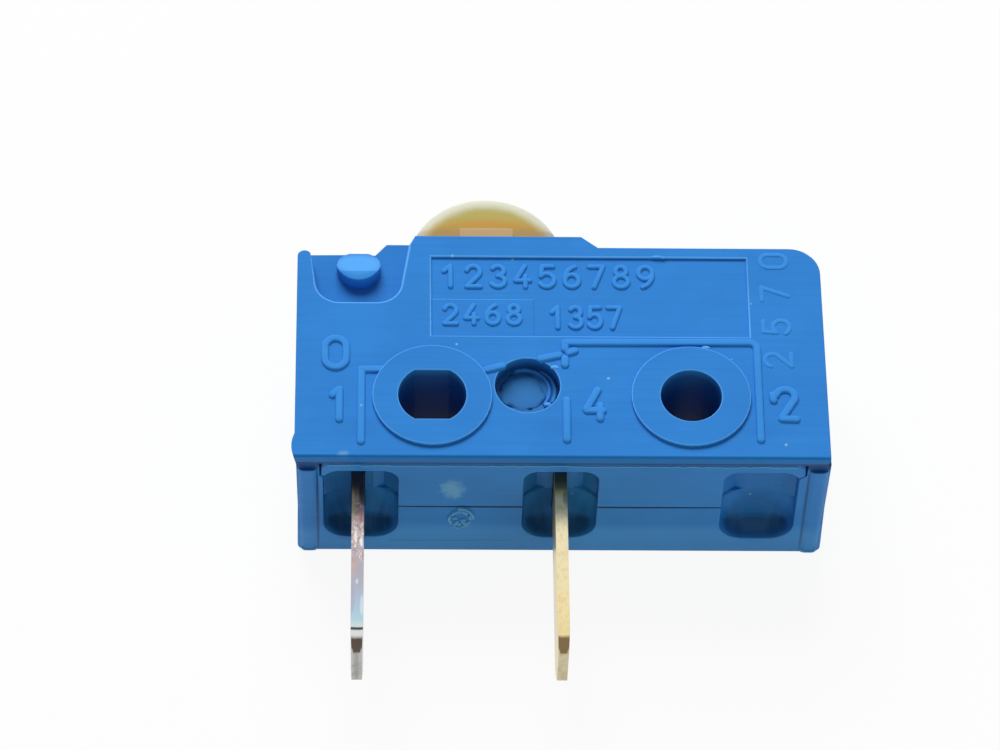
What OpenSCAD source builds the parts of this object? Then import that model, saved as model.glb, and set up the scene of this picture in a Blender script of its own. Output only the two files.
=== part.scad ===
// Subminiature snap-action switch: a moulded housing in two halves, a rounded plunger,
// a common and a make tab, and a sprung contact arm inside.
// Millimetres. The origin is on the axis of the round mounting hole, at the back face.
// X runs along the housing, +Y is the way the plunger points, and +Z leaves the front face.

/* [Housing] */
// Width of the housing along X
body_w = 19.55; // [19:0.05:22]
// Thickness of the housing from its back to its front face
body_t = 6.4; // [6.2:0.1:8]
// Height of the top face above the hole axis
top_h = 6.8; // [6.5:0.1:8]
// Depth of the underside below the hole axis
under_h = 2.55; // [2.4:0.05:3]
// Rise of the hump that guides the plunger
hump_rise = 0.5; // [0.3:0.05:0.8]
// Length of the hump beside the plunger, on the lever's side
hump_margin = 1.1; // [0.9:0.05:1.4]
// Length of the hump beside the plunger, on the far side
hump_tail = 0.9; // [0.8:0.05:1.4]
// Radius of the upper corner beside the empty pocket
corner_r = 1.15; // [0.5:0.05:1.8]
// Thickness of the end walls and the top wall
wall = 0.8; // [0.6:0.05:1]
// Thickness of the back wall
back_t = 0.8; // [0.6:0.05:0.9]
// Thickness of the bottom wall, which holds the tabs
bottom_t = 1.65; // [1.5:0.05:1.75]
// Thickness of the hump's roof, which stops the plunger's shoulders
hump_wall = 0.9; // [0.7:0.05:1]
// Rounding of the back edges at both ends
back_r = 0.3; // [0.1:0.05:0.5]
// Width of the rail at each end of the underside
rail_w = 0.85; // [0.6:0.05:0.9]
// Drop of the rails below the underside
rail_drop = 0.12; // [0.05:0.01:0.2]

/* [Cover] */
// Thickness of the cover plate
cover_t = 0.6; // [0.5:0.05:0.8]
// Overhang of the cover's lower lip below the underside
lip = 0.1; // [0.02:0.01:0.15]
// Radius of the cover's lower front edge
lip_r = 0.1; // [0.05:0.05:0.45]
// Bulge of the cover's lower corner beside the common tab
bump = 0.12; // [0.02:0.01:0.2]
// Depth of the sunk field on the front face
field_depth = 0.12; // [0.05:0.01:0.25]
// Radius of the round moulding recess
gate_r = 1.2; // [0.9:0.05:1.4]
// Depth of the round moulding recess
gate_depth = 0.75; // [0.5:0.05:0.9]

/* [Lever notch] */
// Depth of the notch below the top face
notch_h = 2.55; // [2.1:0.05:2.8]
// Width of the finger left standing at the notch's outer side
finger_w = 0.43; // [0.25:0.01:0.5]
// Radius of the notch's lower corners
notch_r = 0.9; // [0.6:0.05:1.2]
// Diameter of the lever stud
stud_d = 1.65; // [1.4:0.05:2]

/* [Mounting holes] */
// Distance between the two mounting holes
hole_pitch = 9.5; // [9.2:0.1:10]
// Diameter of the round hole
hole_d = 2.25; // [2:0.05:2.5]
// Length of the flattened hole
slot_d = 2.5; // [2.3:0.05:2.7]
// Height of the flattened hole across its flats
slot_h = 2.15; // [2:0.05:2.3]
// Diameter of the raised ring round each hole
boss_d = 4.4; // [4:0.1:4.6]
// Rise of the ring above the front face
boss_rise = 0.15; // [0.05:0.01:0.3]

/* [Tabs] */
// Width of a tab along Z
tab_w = 2.8; // [2.4:0.1:3]
// Thickness of a tab
tab_t = 0.45; // [0.4:0.01:0.55]
// Length of a tab below the underside
tab_len = 6.9; // [5:0.1:9]
// Distance from one tab place to the next
tab_pitch = 7.35; // [7.2:0.05:7.5]
// Chamfer of the tab's tip
tab_tip = 0.5; // [0.2:0.05:0.7]
// Width of the pocket round a tab
pocket_w = 2.75; // [2.4:0.05:3]
// Depth of the pocket into the underside
pocket_depth = 0.95; // [0.8:0.05:1.2]
// Distance of the pocket from the back face
pocket_back = 0.9; // [0.6:0.05:1.1]
// Distance of the pocket from the cover plate
pocket_front = 0.55; // [0.4:0.05:0.8]

/* [Plunger] */
// Half the width of the plunger
plunger_r = 2.65; // [2.4:0.05:2.8]
// Radius of the plunger's crown
crown_r = 2.95; // [2.8:0.05:3.4]
// Thickness of the plunger along Z
plunger_t = 4.3; // [4:0.05:4.5]
// Rise of the plunger above the hump when fully pressed
pressed_rise = 1.2; // [1:0.05:1.6]
// Rounding of the plunger's edges
plunger_edge = 0.75; // [0.3:0.05:1]
// Distance of the plunger's axis from the flattened hole
plunger_off = 2.05; // [1.9:0.01:2.2]
// Travel of the plunger from free to fully pressed
travel = 1.6; // [1.3:0.05:1.7]
// Travel of the plunger to the point where the arm snaps over
pretravel = 0.9; // [0.7:0.05:1]

/* [Contacts] */
// Thickness of the contact arm
arm_t = 0.3; // [0.2:0.01:0.4]
// Width of the contact arm along Z
arm_w = 3.2; // [3:0.05:3.4]
// Radius of the contacts' heads
contact_r = 0.75; // [0.5:0.05:0.85]
// Height of a contact's head
contact_h = 0.4; // [0.3:0.02:0.5]
// Gap between the open contacts
contact_gap = 0.56; // [0.4:0.02:0.7]
// Height of the arm above the mounting posts
arm_rise = 0.75; // [0.6:0.05:0.9]

/* [Springs] */
// Wire diameter of the return spring
return_wire = 0.2; // [0.14:0.01:0.24]
// Mean radius of the return spring
return_r = 0.62; // [0.5:0.02:0.66]
// Turns of the return spring
return_turns = 5; // [4:1:6]
// Wire diameter of the snap spring
snap_wire = 0.16; // [0.12:0.01:0.18]
// Mean radius of the snap spring
snap_r = 0.4; // [0.36:0.01:0.46]
// Turns of the snap spring
snap_turns = 5; // [4:1:6]

/* [Hidden] */
$fn = 64;

// Clearances
run_gap = 0.1;      // between the plunger and the housing
fit_gap = 0.03;     // between seated pieces
tongue_gap = 0.06;  // round the cover's tongue
over = 0.01;        // overrun of a cut past the face that it opens

// Levels and ends of the housing; the base stands a little off the cover
center_x = -hole_pitch / 2;
left_x = center_x - body_w / 2;
right_x = center_x + body_w / 2;
base_shift = 0.065;
base_x0 = left_x + base_shift;
base_x1 = right_x + base_shift;
rim_z = body_t - cover_t;
mid_z = rim_z / 2;
hump_y = top_h + hump_rise;
hump_slope = 0.85;
tail_slope = 1.25;
hump_roof = hump_y - hump_wall;
floor_y = bottom_t - under_h;
tab_x = [for (i = [-1:1]) center_x + i * tab_pitch];
common_inset = 0.1;
blade_x = [tab_x[0] - common_inset, tab_x[1]];

// Underside: the rails' ends, and the mouth that the cover's tongue fills
rail_r = 0.3;
rail_end = 0.35;
mouth_x0 = tab_x[0] - pocket_w / 2;
mouth_x1 = tab_x[2] + pocket_w / 2;
ear_x0 = base_x0 + rail_w;
ear_x1 = base_x1 - rail_w;
ear_h = 1.0;
sill = rail_drop / 2;
sill_h = 0.68;
lip_under = 0.15;

// Tab pockets: arched at the rear, and roofed at the front with a peak on each side that faces a tab
pocket_round = 0.62;
pocket_arch_r = pocket_w / 2 + 0.7;
pocket_corner = 0.6;
pocket_bevel = 0.38;
pocket_peak = 0.85;
pocket_dip = 0.1;

// Mounting posts stand under the raised rings
post_inset = 0.35;
post_r = boss_d / 2 - post_inset;

// Plunger
plunger_x = plunger_off - hole_pitch;
crown_y = hump_y + pressed_rise + travel - crown_r;
plunger_z = body_t / 2;
shoulder_w = 0.5;
shoulder_h = 0.7;
shoulder_top = hump_roof - tongue_gap;
shoulder_inset = 0.55;
shoulder_t = plunger_t - 2 * shoulder_inset;
body_y = shoulder_top - shoulder_h - tongue_gap;
rib_w = 2.0;
rib_rise = 0.86;
rib_top = hump_y + rib_rise;
foot_w = 0.7;
foot_t = 1.4;
foot_x = post_r + run_gap + foot_w / 2 - hole_pitch;
hook_pin_r = 0.16;
hook_inner = snap_r - snap_wire / 2;

// Notch and lever stud
notch_side = 0.28;
notch_x0 = left_x + finger_w;
notch_x1 = plunger_x - plunger_r - notch_side;
notch_y = top_h - notch_h;
notch_lean = 0.4;
notch_bevel = 0.25;
notch_plate = 0.8;
finger_drop = 0.23;
finger_r = 0.26;
finger_top = top_h - finger_drop;
bump_r = 1.2;
bump_y = 0.5;
stud_drop = 0.75;
stud_ramp = 0.42;
stud_lead = 0.08;
stud_x = (notch_x0 + notch_x1) / 2;
stud_y = top_h - stud_drop;
stud_flat = stud_y - stud_ramp;

// Contact arm: its pivot bead rests in a groove of the common tab
bead_wall = 0.1;
bead_r = arm_t / 2 + bead_wall;
pivot_x = blade_x[0] + tab_t / 2 + bead_wall;
pivot_y = post_r + arm_rise;
contact_off = 1.45;
contact_x = blade_x[1] + contact_off;
arm_tail = 1.4;
arm_end = contact_x + arm_tail;
window_root = 0.6;
window_land = 0.2;
arm_leg_w = 0.65;
arm_window_x0 = pivot_x + window_root;
arm_window_x1 = contact_x - contact_r - window_land;
arm_window_w = arm_w - 2 * arm_leg_w;
arm_lug_w = 0.8;
arm_lug_len = 0.95;
lug_hole_r = 0.25;
lug_hole_in = 0.4;
lug_hole_x = arm_window_x1 - lug_hole_in;
shank_r = 0.35;
clinch_h = 0.14;
clinch_r = shank_r + 0.15;
moving_face = pivot_y - arm_t / 2 - contact_h;
leg_top = moving_face - contact_gap - contact_h;
leg_land = 0.15;
leg_end = contact_x + contact_r + leg_land;
bend_r = 0.3;
inner_tab_side = 0.2;
inner_tab_w = tab_w + 2 * inner_tab_side;
common_rise = 0.45;
common_top = pivot_y + common_rise;

// Tip of a tab: how far its broad sides lean in, and over what length
tip_side = 0.035;
tip_run = 0.8;

// Ribs inside the base
stop_w = 0.65;
stop_inset = 0.3;
rib_land = 0.2;

// Springs
return_off = 0.22;
return_x = return_off - hole_pitch;
seat_rise = 0.12;
seat_land = 0.1;
seat_y = post_r + seat_rise;
seat_w = 2 * (return_r + seat_land) + return_wire;
snap_from = [foot_x, pivot_y + pretravel];
snap_to = [lug_hole_x - snap_r, pivot_y];
hook_pin = [snap_from[0] - hook_inner + hook_pin_r + fit_gap, snap_from[1]];
foot_y = snap_from[1] - snap_r - snap_wire / 2 - fit_gap;

// Front of the cover: the sunk field between the holes and the top, and the moulding recess
field_side = 0.02;
field_end = 0.05;
field_low = 0.545;
field_high = 0.475;
field_x0 = -hole_pitch - field_side;
field_x1 = boss_d / 2 + field_end;
field_y0 = boss_d / 2 + field_low;
field_y1 = top_h - field_high;
gate_wall = 0.35;
gate_off = 0.1;
gate_x = boss_d / 2 + gate_off + gate_r - hole_pitch;
gate_y = 0.52;

blue = "#2f86d8";
cream = "#e6d6a4";

// Outline of the housing seen from the front, with the hump at the plunger and its ends shifted
module outline(bottom, shift = 0) {
    hump_x0 = plunger_x - plunger_r - hump_margin;
    hump_x1 = plunger_x + plunger_r + hump_tail;
    difference() {
        union() {
            translate([left_x + shift, bottom])
                square([body_w, top_h - bottom]);
            polygon([[hump_x0 - hump_slope * hump_rise, top_h],
                     [hump_x1 + tail_slope * hump_rise, top_h],
                     [hump_x1, hump_y], [hump_x0, hump_y]]);
        }
        translate([right_x + shift - corner_r, top_h - corner_r])
            corner_cut(corner_r);
    }
}

// The part of a square corner that lies outside a round of radius r
module corner_cut(r) {
    difference() {
        square(r + over);
        circle(r);
    }
}

// U-shaped notch with leaning sides, tangent to its two lower rounds, and bevelled at the hump
module notch_shape() {
    lean = atan2(notch_lean, notch_h);
    side = [cos(lean), -sin(lean)] * notch_r;
    low_y = notch_y + notch_r;
    inset = notch_r / cos(lean) + (top_h - low_y) * tan(lean);
    c0 = [notch_x0 + inset, low_y];
    c1 = [notch_x1 - inset, low_y];
    polygon([[notch_x0, top_h], [c0[0] - side[0], low_y + side[1]], [c0[0], notch_y],
             [c1[0], notch_y], [c1[0] + side[0], low_y + side[1]], [notch_x1, top_h],
             [notch_x1 + notch_bevel, hump_y + over], [notch_x0, hump_y + over]]);
    for (c = [c0, c1])
        translate(c)
            circle(notch_r);
}

// Round hole and flattened hole, drawn in the plane of the front face
module hole_shapes() {
    circle(d = hole_d);
    translate([-hole_pitch, 0])
        intersection() {
            circle(d = slot_d);
            square([slot_d, slot_h], center = true);
        }
}

// Extrudes an XZ outline along Y, from y0 to y1
module extrude_y(y0, y1) {
    translate([0, y1, 0])
        rotate([90, 0, 0])
            linear_extrude(y1 - y0)
                children();
}

// Extrudes a YZ outline along X, from x0 to x1
module extrude_x(x0, x1) {
    translate([x0, 0, 0])
        rotate([90, 0, 90])
            linear_extrude(x1 - x0)
                children();
}

// Box from its lowest to its highest corner
module box(low, high) {
    translate(low)
        cube(high - low);
}

// Rear half of a tab's pocket: a mouth with round lower corners under an arched ceiling
module pocket_rear(x) {
    half = pocket_w / 2;
    intersection() {
        extrude_y(-under_h - rail_drop, pocket_depth - under_h)
            difference() {
                translate([x - half, pocket_back])
                    square([pocket_w, mid_z + over - pocket_back]);
                for (side = [-1, 1])
                    translate([x + side * (half - pocket_round), pocket_back + pocket_round])
                        mirror([side < 0 ? 1 : 0, 0])
                            mirror([0, 1])
                                corner_cut(pocket_round);
            }
        translate([x, pocket_depth - under_h - pocket_arch_r, 0])
            cylinder(r = pocket_arch_r, h = mid_z + over);
    }
}

// Half of a pocket's roof, seen from the front: peaked, or arched like the pocket's rear half
module pocket_roof(side, peaked) {
    half = pocket_w / 2;
    deep = pocket_depth - under_h;
    low = -under_h - rail_drop;
    mirror([side < 0 ? 1 : 0, 0])
        if (peaked)
            polygon([[0, low], [half, low], [half, deep - pocket_bevel], [pocket_peak, deep],
                     [tab_t, deep - pocket_dip], [0, deep - pocket_dip]]);
        else
            intersection() {
                translate([-tab_t, low])
                    square([half + tab_t, deep - low]);
                translate([0, deep - pocket_arch_r])
                    circle(pocket_arch_r);
            }
}

// Front half of a tab's pocket: round corners under a roof that is plain towards the housing's end
module pocket_ahead(x) {
    top_z = rim_z - pocket_front;
    half = pocket_w / 2;
    deep = pocket_depth - under_h;
    intersection() {
        extrude_y(-under_h - rail_drop, deep)
            difference() {
                translate([x - half, mid_z - over])
                    square([pocket_w, top_z - mid_z + over]);
                for (side = [-1, 1])
                    translate([x + side * (half - pocket_corner), top_z - pocket_corner])
                        mirror([side < 0 ? 1 : 0, 0])
                            corner_cut(pocket_corner);
            }
        translate([x, 0, 0])
            linear_extrude(body_t)
                for (side = [-1, 1])
                    pocket_roof(side, x != (side < 0 ? tab_x[0] : tab_x[2]));
    }
}

// Slot that a tab passes through, on one side of the parting plane
module tab_slot(x, z0, z1) {
    box([x - tab_t / 2 - fit_gap, -under_h - rail_drop - over, z0],
        [x + tab_t / 2 + fit_gap, floor_y + over, z1]);
}

// Mouth in the front of the bottom wall, grown or shrunk by a gap, clear of the mounting posts
module tongue_shape(gap) {
    difference() {
        union() {
            box([mouth_x0 - gap, -under_h, mid_z - gap], [mouth_x1 + gap, floor_y + gap, rim_z]);
            extrude_y(-under_h, floor_y + gap)
                polygon([[mouth_x0 - gap, rim_z - ear_h], [mouth_x1 + gap, rim_z - ear_h],
                         [ear_x1 + gap, rim_z - ear_h + ear_x1 - mouth_x1],
                         [ear_x1 + gap, rim_z], [ear_x0 - gap, rim_z],
                         [ear_x0 - gap, rim_z - ear_h + mouth_x0 - ear_x0]]);
        }
        for (x = [0, -hole_pitch])
            translate([x, 0, 0])
                cylinder(r = post_r - gap, h = body_t);
    }
}

// Rounded rail that runs from the back to the front at one end of the underside
module rail(x0) {
    translate([x0, -under_h - rail_drop, 0])
        linear_extrude(rim_z - rail_end)
            difference() {
                square([rail_w, rail_drop + wall]);
                translate([rail_w - rail_r, rail_r])
                    mirror([0, 1])
                        corner_cut(rail_r);
                translate([rail_r, rail_r])
                    rotate(180)
                        corner_cut(rail_r);
            }
}

// Space inside the base
module cavity() {
    hump_x0 = plunger_x - plunger_r - shoulder_w - 2 * run_gap;
    hump_x1 = plunger_x + plunger_r + shoulder_w + 2 * run_gap;
    translate([0, 0, back_t])
        linear_extrude(rim_z)
            difference() {
                union() {
                    translate([left_x + wall, floor_y])
                        square([body_w - 2 * wall, top_h - wall - floor_y]);
                    translate([hump_x0, floor_y])
                        square([hump_x1 - hump_x0, hump_roof - floor_y]);
                }
                for (x = [0, -hole_pitch])
                    translate([x, 0])
                        circle(post_r);
            }
}

// Plate behind the lever notch, with the stud that a lever hooks on
module lever_seat() {
    seat_x1 = plunger_x - plunger_r - run_gap;
    box([base_x0, notch_y - wall, rim_z - notch_plate], [seat_x1, top_h, rim_z]);
    intersection() {
        translate([stud_x, stud_y, rim_z - notch_plate])
            cylinder(d = stud_d, h = notch_plate + cover_t);
        extrude_x(base_x0, seat_x1)
            polygon([[0, 0], [top_h, 0], [top_h, rim_z + stud_lead], [stud_flat, body_t],
                     [0, body_t]]);
    }
}

// Ribs inside the base that carry the arm's stop, the tabs and the return spring
module inner_ribs() {
    box([arm_end - stop_w, pivot_y + arm_t / 2 + fit_gap, back_t],
        [arm_end, top_h - wall, mid_z + arm_w / 2 - stop_inset]);
    box([left_x + wall, floor_y, back_t],
        [blade_x[0] - tab_t / 2 - fit_gap, common_top - rib_land, mid_z]);
    box([blade_x[1] + tab_t / 2 + bend_r, floor_y, back_t],
        [leg_end - rib_land, leg_top - tab_t - fit_gap, mid_z]);
    box([return_x - seat_w / 2, 0, mid_z - seat_w / 2],
        [return_x + seat_w / 2, seat_y, mid_z + seat_w / 2]);
    translate([return_x, seat_y, mid_z])
        rotate([-90, 0, 0])
            cylinder(r = return_r - return_wire, h = 2 * return_wire);
}

module base() {
    color(blue)
    difference() {
        union() {
            difference() {
                linear_extrude(rim_z)
                    outline(-under_h, base_shift);
                cavity();
                translate([0, 0, over])
                    tongue_shape(0);
                box([plunger_x - plunger_r - run_gap, hump_roof - over, back_t],
                    [plunger_x + plunger_r + run_gap, hump_y + over, rim_z + over]);
            }
            extrude_x(base_x0, base_x1)
                polygon([[-under_h - sill, 0], [wall - under_h, 0], [wall - under_h, mid_z],
                         [-under_h, mid_z], [-under_h - sill, sill_h]]);
            rail(base_x0);
            rail(base_x1 - rail_w);
            lever_seat();
            inner_ribs();
        }
        for (x = tab_x)
            pocket_rear(x);
        for (x = blade_x)
            tab_slot(x, mid_z - tab_w / 2 - fit_gap, rim_z);
        translate([0, 0, -over])
            linear_extrude(rim_z + 2 * over)
                hole_shapes();
        extrude_y(-under_h - wall, hump_y)
            for (side = [-1, 1])
                translate([center_x + base_shift + side * (body_w / 2 - back_r), back_r])
                    mirror([side < 0 ? 1 : 0, 0])
                        mirror([0, 1])
                            corner_cut(back_r);
    }
}

// Plate of the cover: the housing's outline less the lever notch, with a rounded lower lip
module cover_plate() {
    lip_y = -under_h - lip;
    difference() {
        translate([0, 0, rim_z])
            linear_extrude(cover_t)
                difference() {
                    union() {
                        outline(lip_y);
                        intersection() {
                            translate([left_x + bump_r - bump, lip_y + bump_y])
                                circle(bump_r);
                            translate([left_x - bump_r, lip_y])
                                square(2 * bump_r);
                        }
                    }
                    notch_shape();
                    translate([left_x - over, finger_top])
                        square([finger_w + notch_lean, hump_y - finger_top]);
                    translate([left_x + finger_r, finger_top - finger_r])
                        for (side = [0, 1])
                            mirror([side, 0])
                                corner_cut(finger_r);
                }
        extrude_x(left_x - wall, right_x + over)
            translate([lip_y + lip_r, body_t - lip_r])
                mirror([1, 0])
                    corner_cut(lip_r);
        extrude_x(left_x - wall, right_x + over)
            translate([lip_y + lip_under, rim_z + lip_under])
                rotate(180)
                    corner_cut(lip_under);
    }
}

// Tongue of the cover, which closes the bottom wall in front of the tabs
module cover_tongue() {
    difference() {
        tongue_shape(-tongue_gap);
        for (x = tab_x)
            pocket_ahead(x);
        for (x = blade_x)
            tab_slot(x, mid_z, mid_z + tab_w / 2 + fit_gap);
    }
}

module cover() {
    color(blue)
    difference() {
        union() {
            cover_plate();
            cover_tongue();
            for (x = [0, -hole_pitch])
                translate([x, 0, rim_z])
                    cylinder(d = boss_d, h = cover_t + boss_rise);
            translate([gate_x, gate_y, body_t - gate_depth - gate_wall])
                cylinder(r = gate_r + gate_wall, h = gate_depth);
        }
        box([field_x0, field_y0, body_t - field_depth],
            [field_x1, field_y1, body_t + boss_rise + over]);
        translate([gate_x, gate_y, body_t - gate_depth])
            cylinder(r = gate_r, h = gate_depth + over);
        translate([0, 0, rim_z - over])
            linear_extrude(cover_t + boss_rise + 2 * over)
                hole_shapes();
    }
}

// Section of the plunger across its height, with rounded edges
module plunger_section(half_x) {
    half_z = plunger_t / 2;
    difference() {
        translate([-half_x, -half_z])
            square([2 * half_x, plunger_t]);
        for (sx = [-1, 1], sz = [-1, 1])
            translate([sx * (half_x - plunger_edge), sz * (half_z - plunger_edge)])
                mirror([sx < 0 ? 1 : 0, 0])
                    mirror([0, sz < 0 ? 1 : 0])
                        corner_cut(plunger_edge);
    }
}

// Head of the plunger: straight flanks under the crown of a wider disc with rounded rims
module plunger_head() {
    intersection() {
        translate([plunger_x, 0, plunger_z])
            extrude_y(body_y, crown_y + crown_r)
                plunger_section(plunger_r);
        union() {
            translate([plunger_x, crown_y, plunger_z])
                rotate_extrude()
                    intersection() {
                        plunger_section(crown_r);
                        translate([0, -plunger_t])
                            square([crown_r, 2 * plunger_t]);
                    }
            box([plunger_x - crown_r, body_y - over, 0],
                [plunger_x + crown_r, crown_y, body_t]);
        }
    }
}

// Forked foot of the plunger, with the cross pin that holds the snap spring
module plunger_foot() {
    x0 = foot_x - foot_w / 2;
    difference() {
        box([x0, foot_y, mid_z - foot_t / 2], [x0 + foot_w, body_y + over, mid_z + foot_t / 2]);
        box([x0 - over, foot_y - over, mid_z - snap_wire],
            [x0 + foot_w + over, snap_from[1] + snap_r + snap_wire, mid_z + snap_wire]);
    }
    translate([hook_pin[0], hook_pin[1], mid_z - foot_t / 2])
        cylinder(r = hook_pin_r, h = foot_t, $fn = 32);
}

module plunger() {
    rib_z0 = back_t + run_gap;
    rib_z1 = rim_z - run_gap;
    shoulder_x = plunger_r + shoulder_w;
    color(cream)
    union() {
        plunger_head();
        translate([plunger_x, 0, plunger_z])
            box([-shoulder_x, shoulder_top - shoulder_h, -shoulder_t / 2],
                [shoulder_x, shoulder_top, shoulder_t / 2]);
        box([plunger_x - rib_w / 2, body_y, rib_z0], [plunger_x + rib_w / 2, rib_top, rib_z1]);
        plunger_foot();
    }
}

// Flat of a tab below the housing and through its wall, with a tip bevelled all round
module tab_blade(x) {
    tip_y = -under_h - tab_len;
    half = tab_w / 2;
    side = tab_t / 2;
    intersection() {
        extrude_x(x - side, x + side)
            translate([0, mid_z])
                polygon([[floor_y, half], [tip_y + tab_tip, half], [tip_y, half - tab_tip],
                         [tip_y, tab_tip - half], [tip_y + tab_tip, -half], [floor_y, -half]]);
        translate([x, 0, 0])
            linear_extrude(body_t)
                polygon([[-side, floor_y], [-side, tip_y + tip_run], [tip_side - side, tip_y],
                         [side - tip_side, tip_y], [side, tip_y + tip_run], [side, floor_y]]);
    }
}

module common_tab() {
    x = blade_x[0];
    color("#c9c6c0")
    difference() {
        union() {
            tab_blade(x);
            box([x - tab_t / 2, floor_y + fit_gap - over, mid_z - inner_tab_w / 2],
                [x + tab_t / 2, common_top, mid_z + inner_tab_w / 2]);
            box([x - tab_t / 2, floor_y - over, mid_z - tab_w / 2],
                [x + tab_t / 2, floor_y + 2 * fit_gap, mid_z + tab_w / 2]);
        }
        translate([pivot_x, pivot_y, 0])
            cylinder(r = bead_r + tongue_gap, h = body_t);
    }
}

module make_tab() {
    x = blade_x[1];
    color("#d9b765")
    union() {
        tab_blade(x);
        translate([x - tab_t / 2, 0, mid_z - tab_w / 2])
            linear_extrude(tab_w)
                difference() {
                    union() {
                        translate([0, floor_y - over])
                            square([tab_t, leg_top - floor_y + over]);
                        translate([0, leg_top - tab_t])
                            square([leg_end - x + tab_t / 2, tab_t]);
                    }
                    translate([bend_r, leg_top - bend_r])
                        mirror([1, 0])
                            corner_cut(bend_r);
                }
    }
}

// Contact head with a slightly domed face, standing on the plane y = 0
module contact_head() {
    dome = 0.1;
    dome_r = (contact_r * contact_r + dome * dome) / (2 * dome);
    rotate([-90, 0, 0])
        intersection() {
            cylinder(r = contact_r, h = contact_h);
            translate([0, 0, contact_h - dome_r])
                sphere(dome_r);
        }
}

module fixed_contact() {
    color("#dfe1e2")
    translate([contact_x, leg_top, mid_z])
        contact_head();
}

module contact_arm() {
    color("#c98d52")
    difference() {
        union() {
            translate([pivot_x, pivot_y, mid_z - arm_w / 2])
                cylinder(r = bead_r, h = arm_w);
            difference() {
                box([pivot_x, pivot_y - arm_t / 2, mid_z - arm_w / 2],
                    [arm_end, pivot_y + arm_t / 2, mid_z + arm_w / 2]);
                box([arm_window_x0, pivot_y - arm_t, mid_z - arm_window_w / 2],
                    [arm_window_x1, pivot_y + arm_t, mid_z + arm_window_w / 2]);
            }
            box([arm_window_x1 - arm_lug_len, pivot_y - arm_t / 2, mid_z - arm_lug_w / 2],
                [arm_window_x1 + over, pivot_y + arm_t / 2, mid_z + arm_lug_w / 2]);
        }
        for (hole = [[lug_hole_x, lug_hole_r], [contact_x, shank_r + fit_gap]])
            translate([hole[0], pivot_y - arm_t, mid_z])
                rotate([-90, 0, 0])
                    cylinder(r = hole[1], h = 2 * arm_t, $fn = 32);
    }
}

module moving_contact() {
    color("#dfe1e2")
    translate([contact_x, pivot_y, mid_z])
        mirror([0, 1, 0]) {
            translate([0, arm_t / 2, 0])
                contact_head();
            translate([0, -arm_t / 2 - clinch_h, 0])
                rotate([-90, 0, 0])
                    cylinder(r = clinch_r, h = clinch_h, $fn = 32);
            translate([0, -arm_t / 2 - over, 0])
                rotate([-90, 0, 0])
                    cylinder(r = shank_r, h = arm_t + 2 * over, $fn = 32);
        }
}

// Unit vector along v
function unit(v) = v / norm(v);

// Directions along a path of points
function tangents(p) = [for (i = [0:len(p) - 1])
    unit(p[min(i + 1, len(p) - 1)] - p[max(i - 1, 0)])];

// Normals carried along a path without twisting
function normals(t) = [for (i = 0, n = unit(cross(t[0], [0, 0, 1])); i < len(t);
    i = i + 1, n = i < len(t) ? unit(n - (n * t[i]) * t[i]) : n) n];

// Round wire swept along a path of points
module wire(path, d, sides = 8) {
    t = tangents(path);
    n = normals(t);
    last = len(path) - 1;
    points = [for (i = [0:last], k = [0:sides - 1])
        path[i] + d / 2 * (cos(360 * k / sides) * n[i] + sin(360 * k / sides) * cross(t[i], n[i]))];
    walls = [for (i = [0:last - 1], k = [0:sides - 1])
        [i * sides + k, i * sides + (k + 1) % sides,
         (i + 1) * sides + (k + 1) % sides, (i + 1) * sides + k]];
    ends = [[for (k = [sides - 1:-1:0]) k], [for (k = [0:sides - 1]) last * sides + k]];
    polyhedron(points, concat(walls, ends), convexity = 6);
}

// Compression spring along Y with closed end turns
module return_spring() {
    y0 = seat_y + return_wire / 2 + fit_gap;
    y1 = body_y - return_wire / 2 - fit_gap;
    steps = 14;
    count = return_turns * steps;
    closed = 1.15 * return_wire;
    rise = [[0, y0], [steps, y0 + closed], [count - steps, y1 - closed], [count, y1]];
    path = [for (i = [0:count])
        [return_x + return_r * cos(360 * i / steps), lookup(i, rise),
         mid_z + return_r * sin(360 * i / steps)]];
    color("#a9adb0")
        wire(path, return_wire);
}

// Tension spring from the plunger's cross pin to the arm's lug, with an open hook at each end
module snap_spring() {
    axis = snap_to - snap_from;
    length = norm(axis);
    u = axis / length;
    v = [-u[1], u[0]];
    near_lead = foot_w / 2 + hook_inner;
    far_lead = snap_r;
    coil_len = length - near_lead - far_lead;
    steps = 12;
    count = snap_turns * steps;
    hook = [for (a = [250:-20:90]) [snap_r * cos(a), snap_r * sin(a), 0]];
    coil = [for (i = [1:count - 1])
        let (s = i / count)
        [near_lead + s * coil_len, snap_r * cos(360 * i / steps), snap_r * sin(360 * i / steps)]];
    far = [for (a = [90:-20:-70]) [length + snap_r * cos(a), snap_r * sin(a), 0]];
    path = [for (q = concat(hook, coil, far))
        let (p = snap_from + q[0] * u + q[1] * v)
        [p[0], p[1], mid_z + q[2]]];
    color("#a9adb0")
        wire(path, snap_wire);
}

base();
cover();
plunger();
common_tab();
make_tab();
fixed_contact();
contact_arm();
moving_contact();
snap_spring();
return_spring();
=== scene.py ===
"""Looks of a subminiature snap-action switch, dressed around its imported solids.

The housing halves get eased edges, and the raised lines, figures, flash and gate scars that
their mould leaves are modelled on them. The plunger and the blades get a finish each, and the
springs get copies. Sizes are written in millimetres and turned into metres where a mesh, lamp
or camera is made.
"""

import logging
import math
import random
from collections.abc import Callable, Iterable, Iterator
from contextlib import contextmanager
from dataclasses import dataclass
from enum import Enum
from functools import lru_cache

import bmesh
import bpy
from mathutils import Matrix, Vector
from mathutils.bvhtree import BVHTree
from mathutils.interpolate import poly_3d_calc


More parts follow.
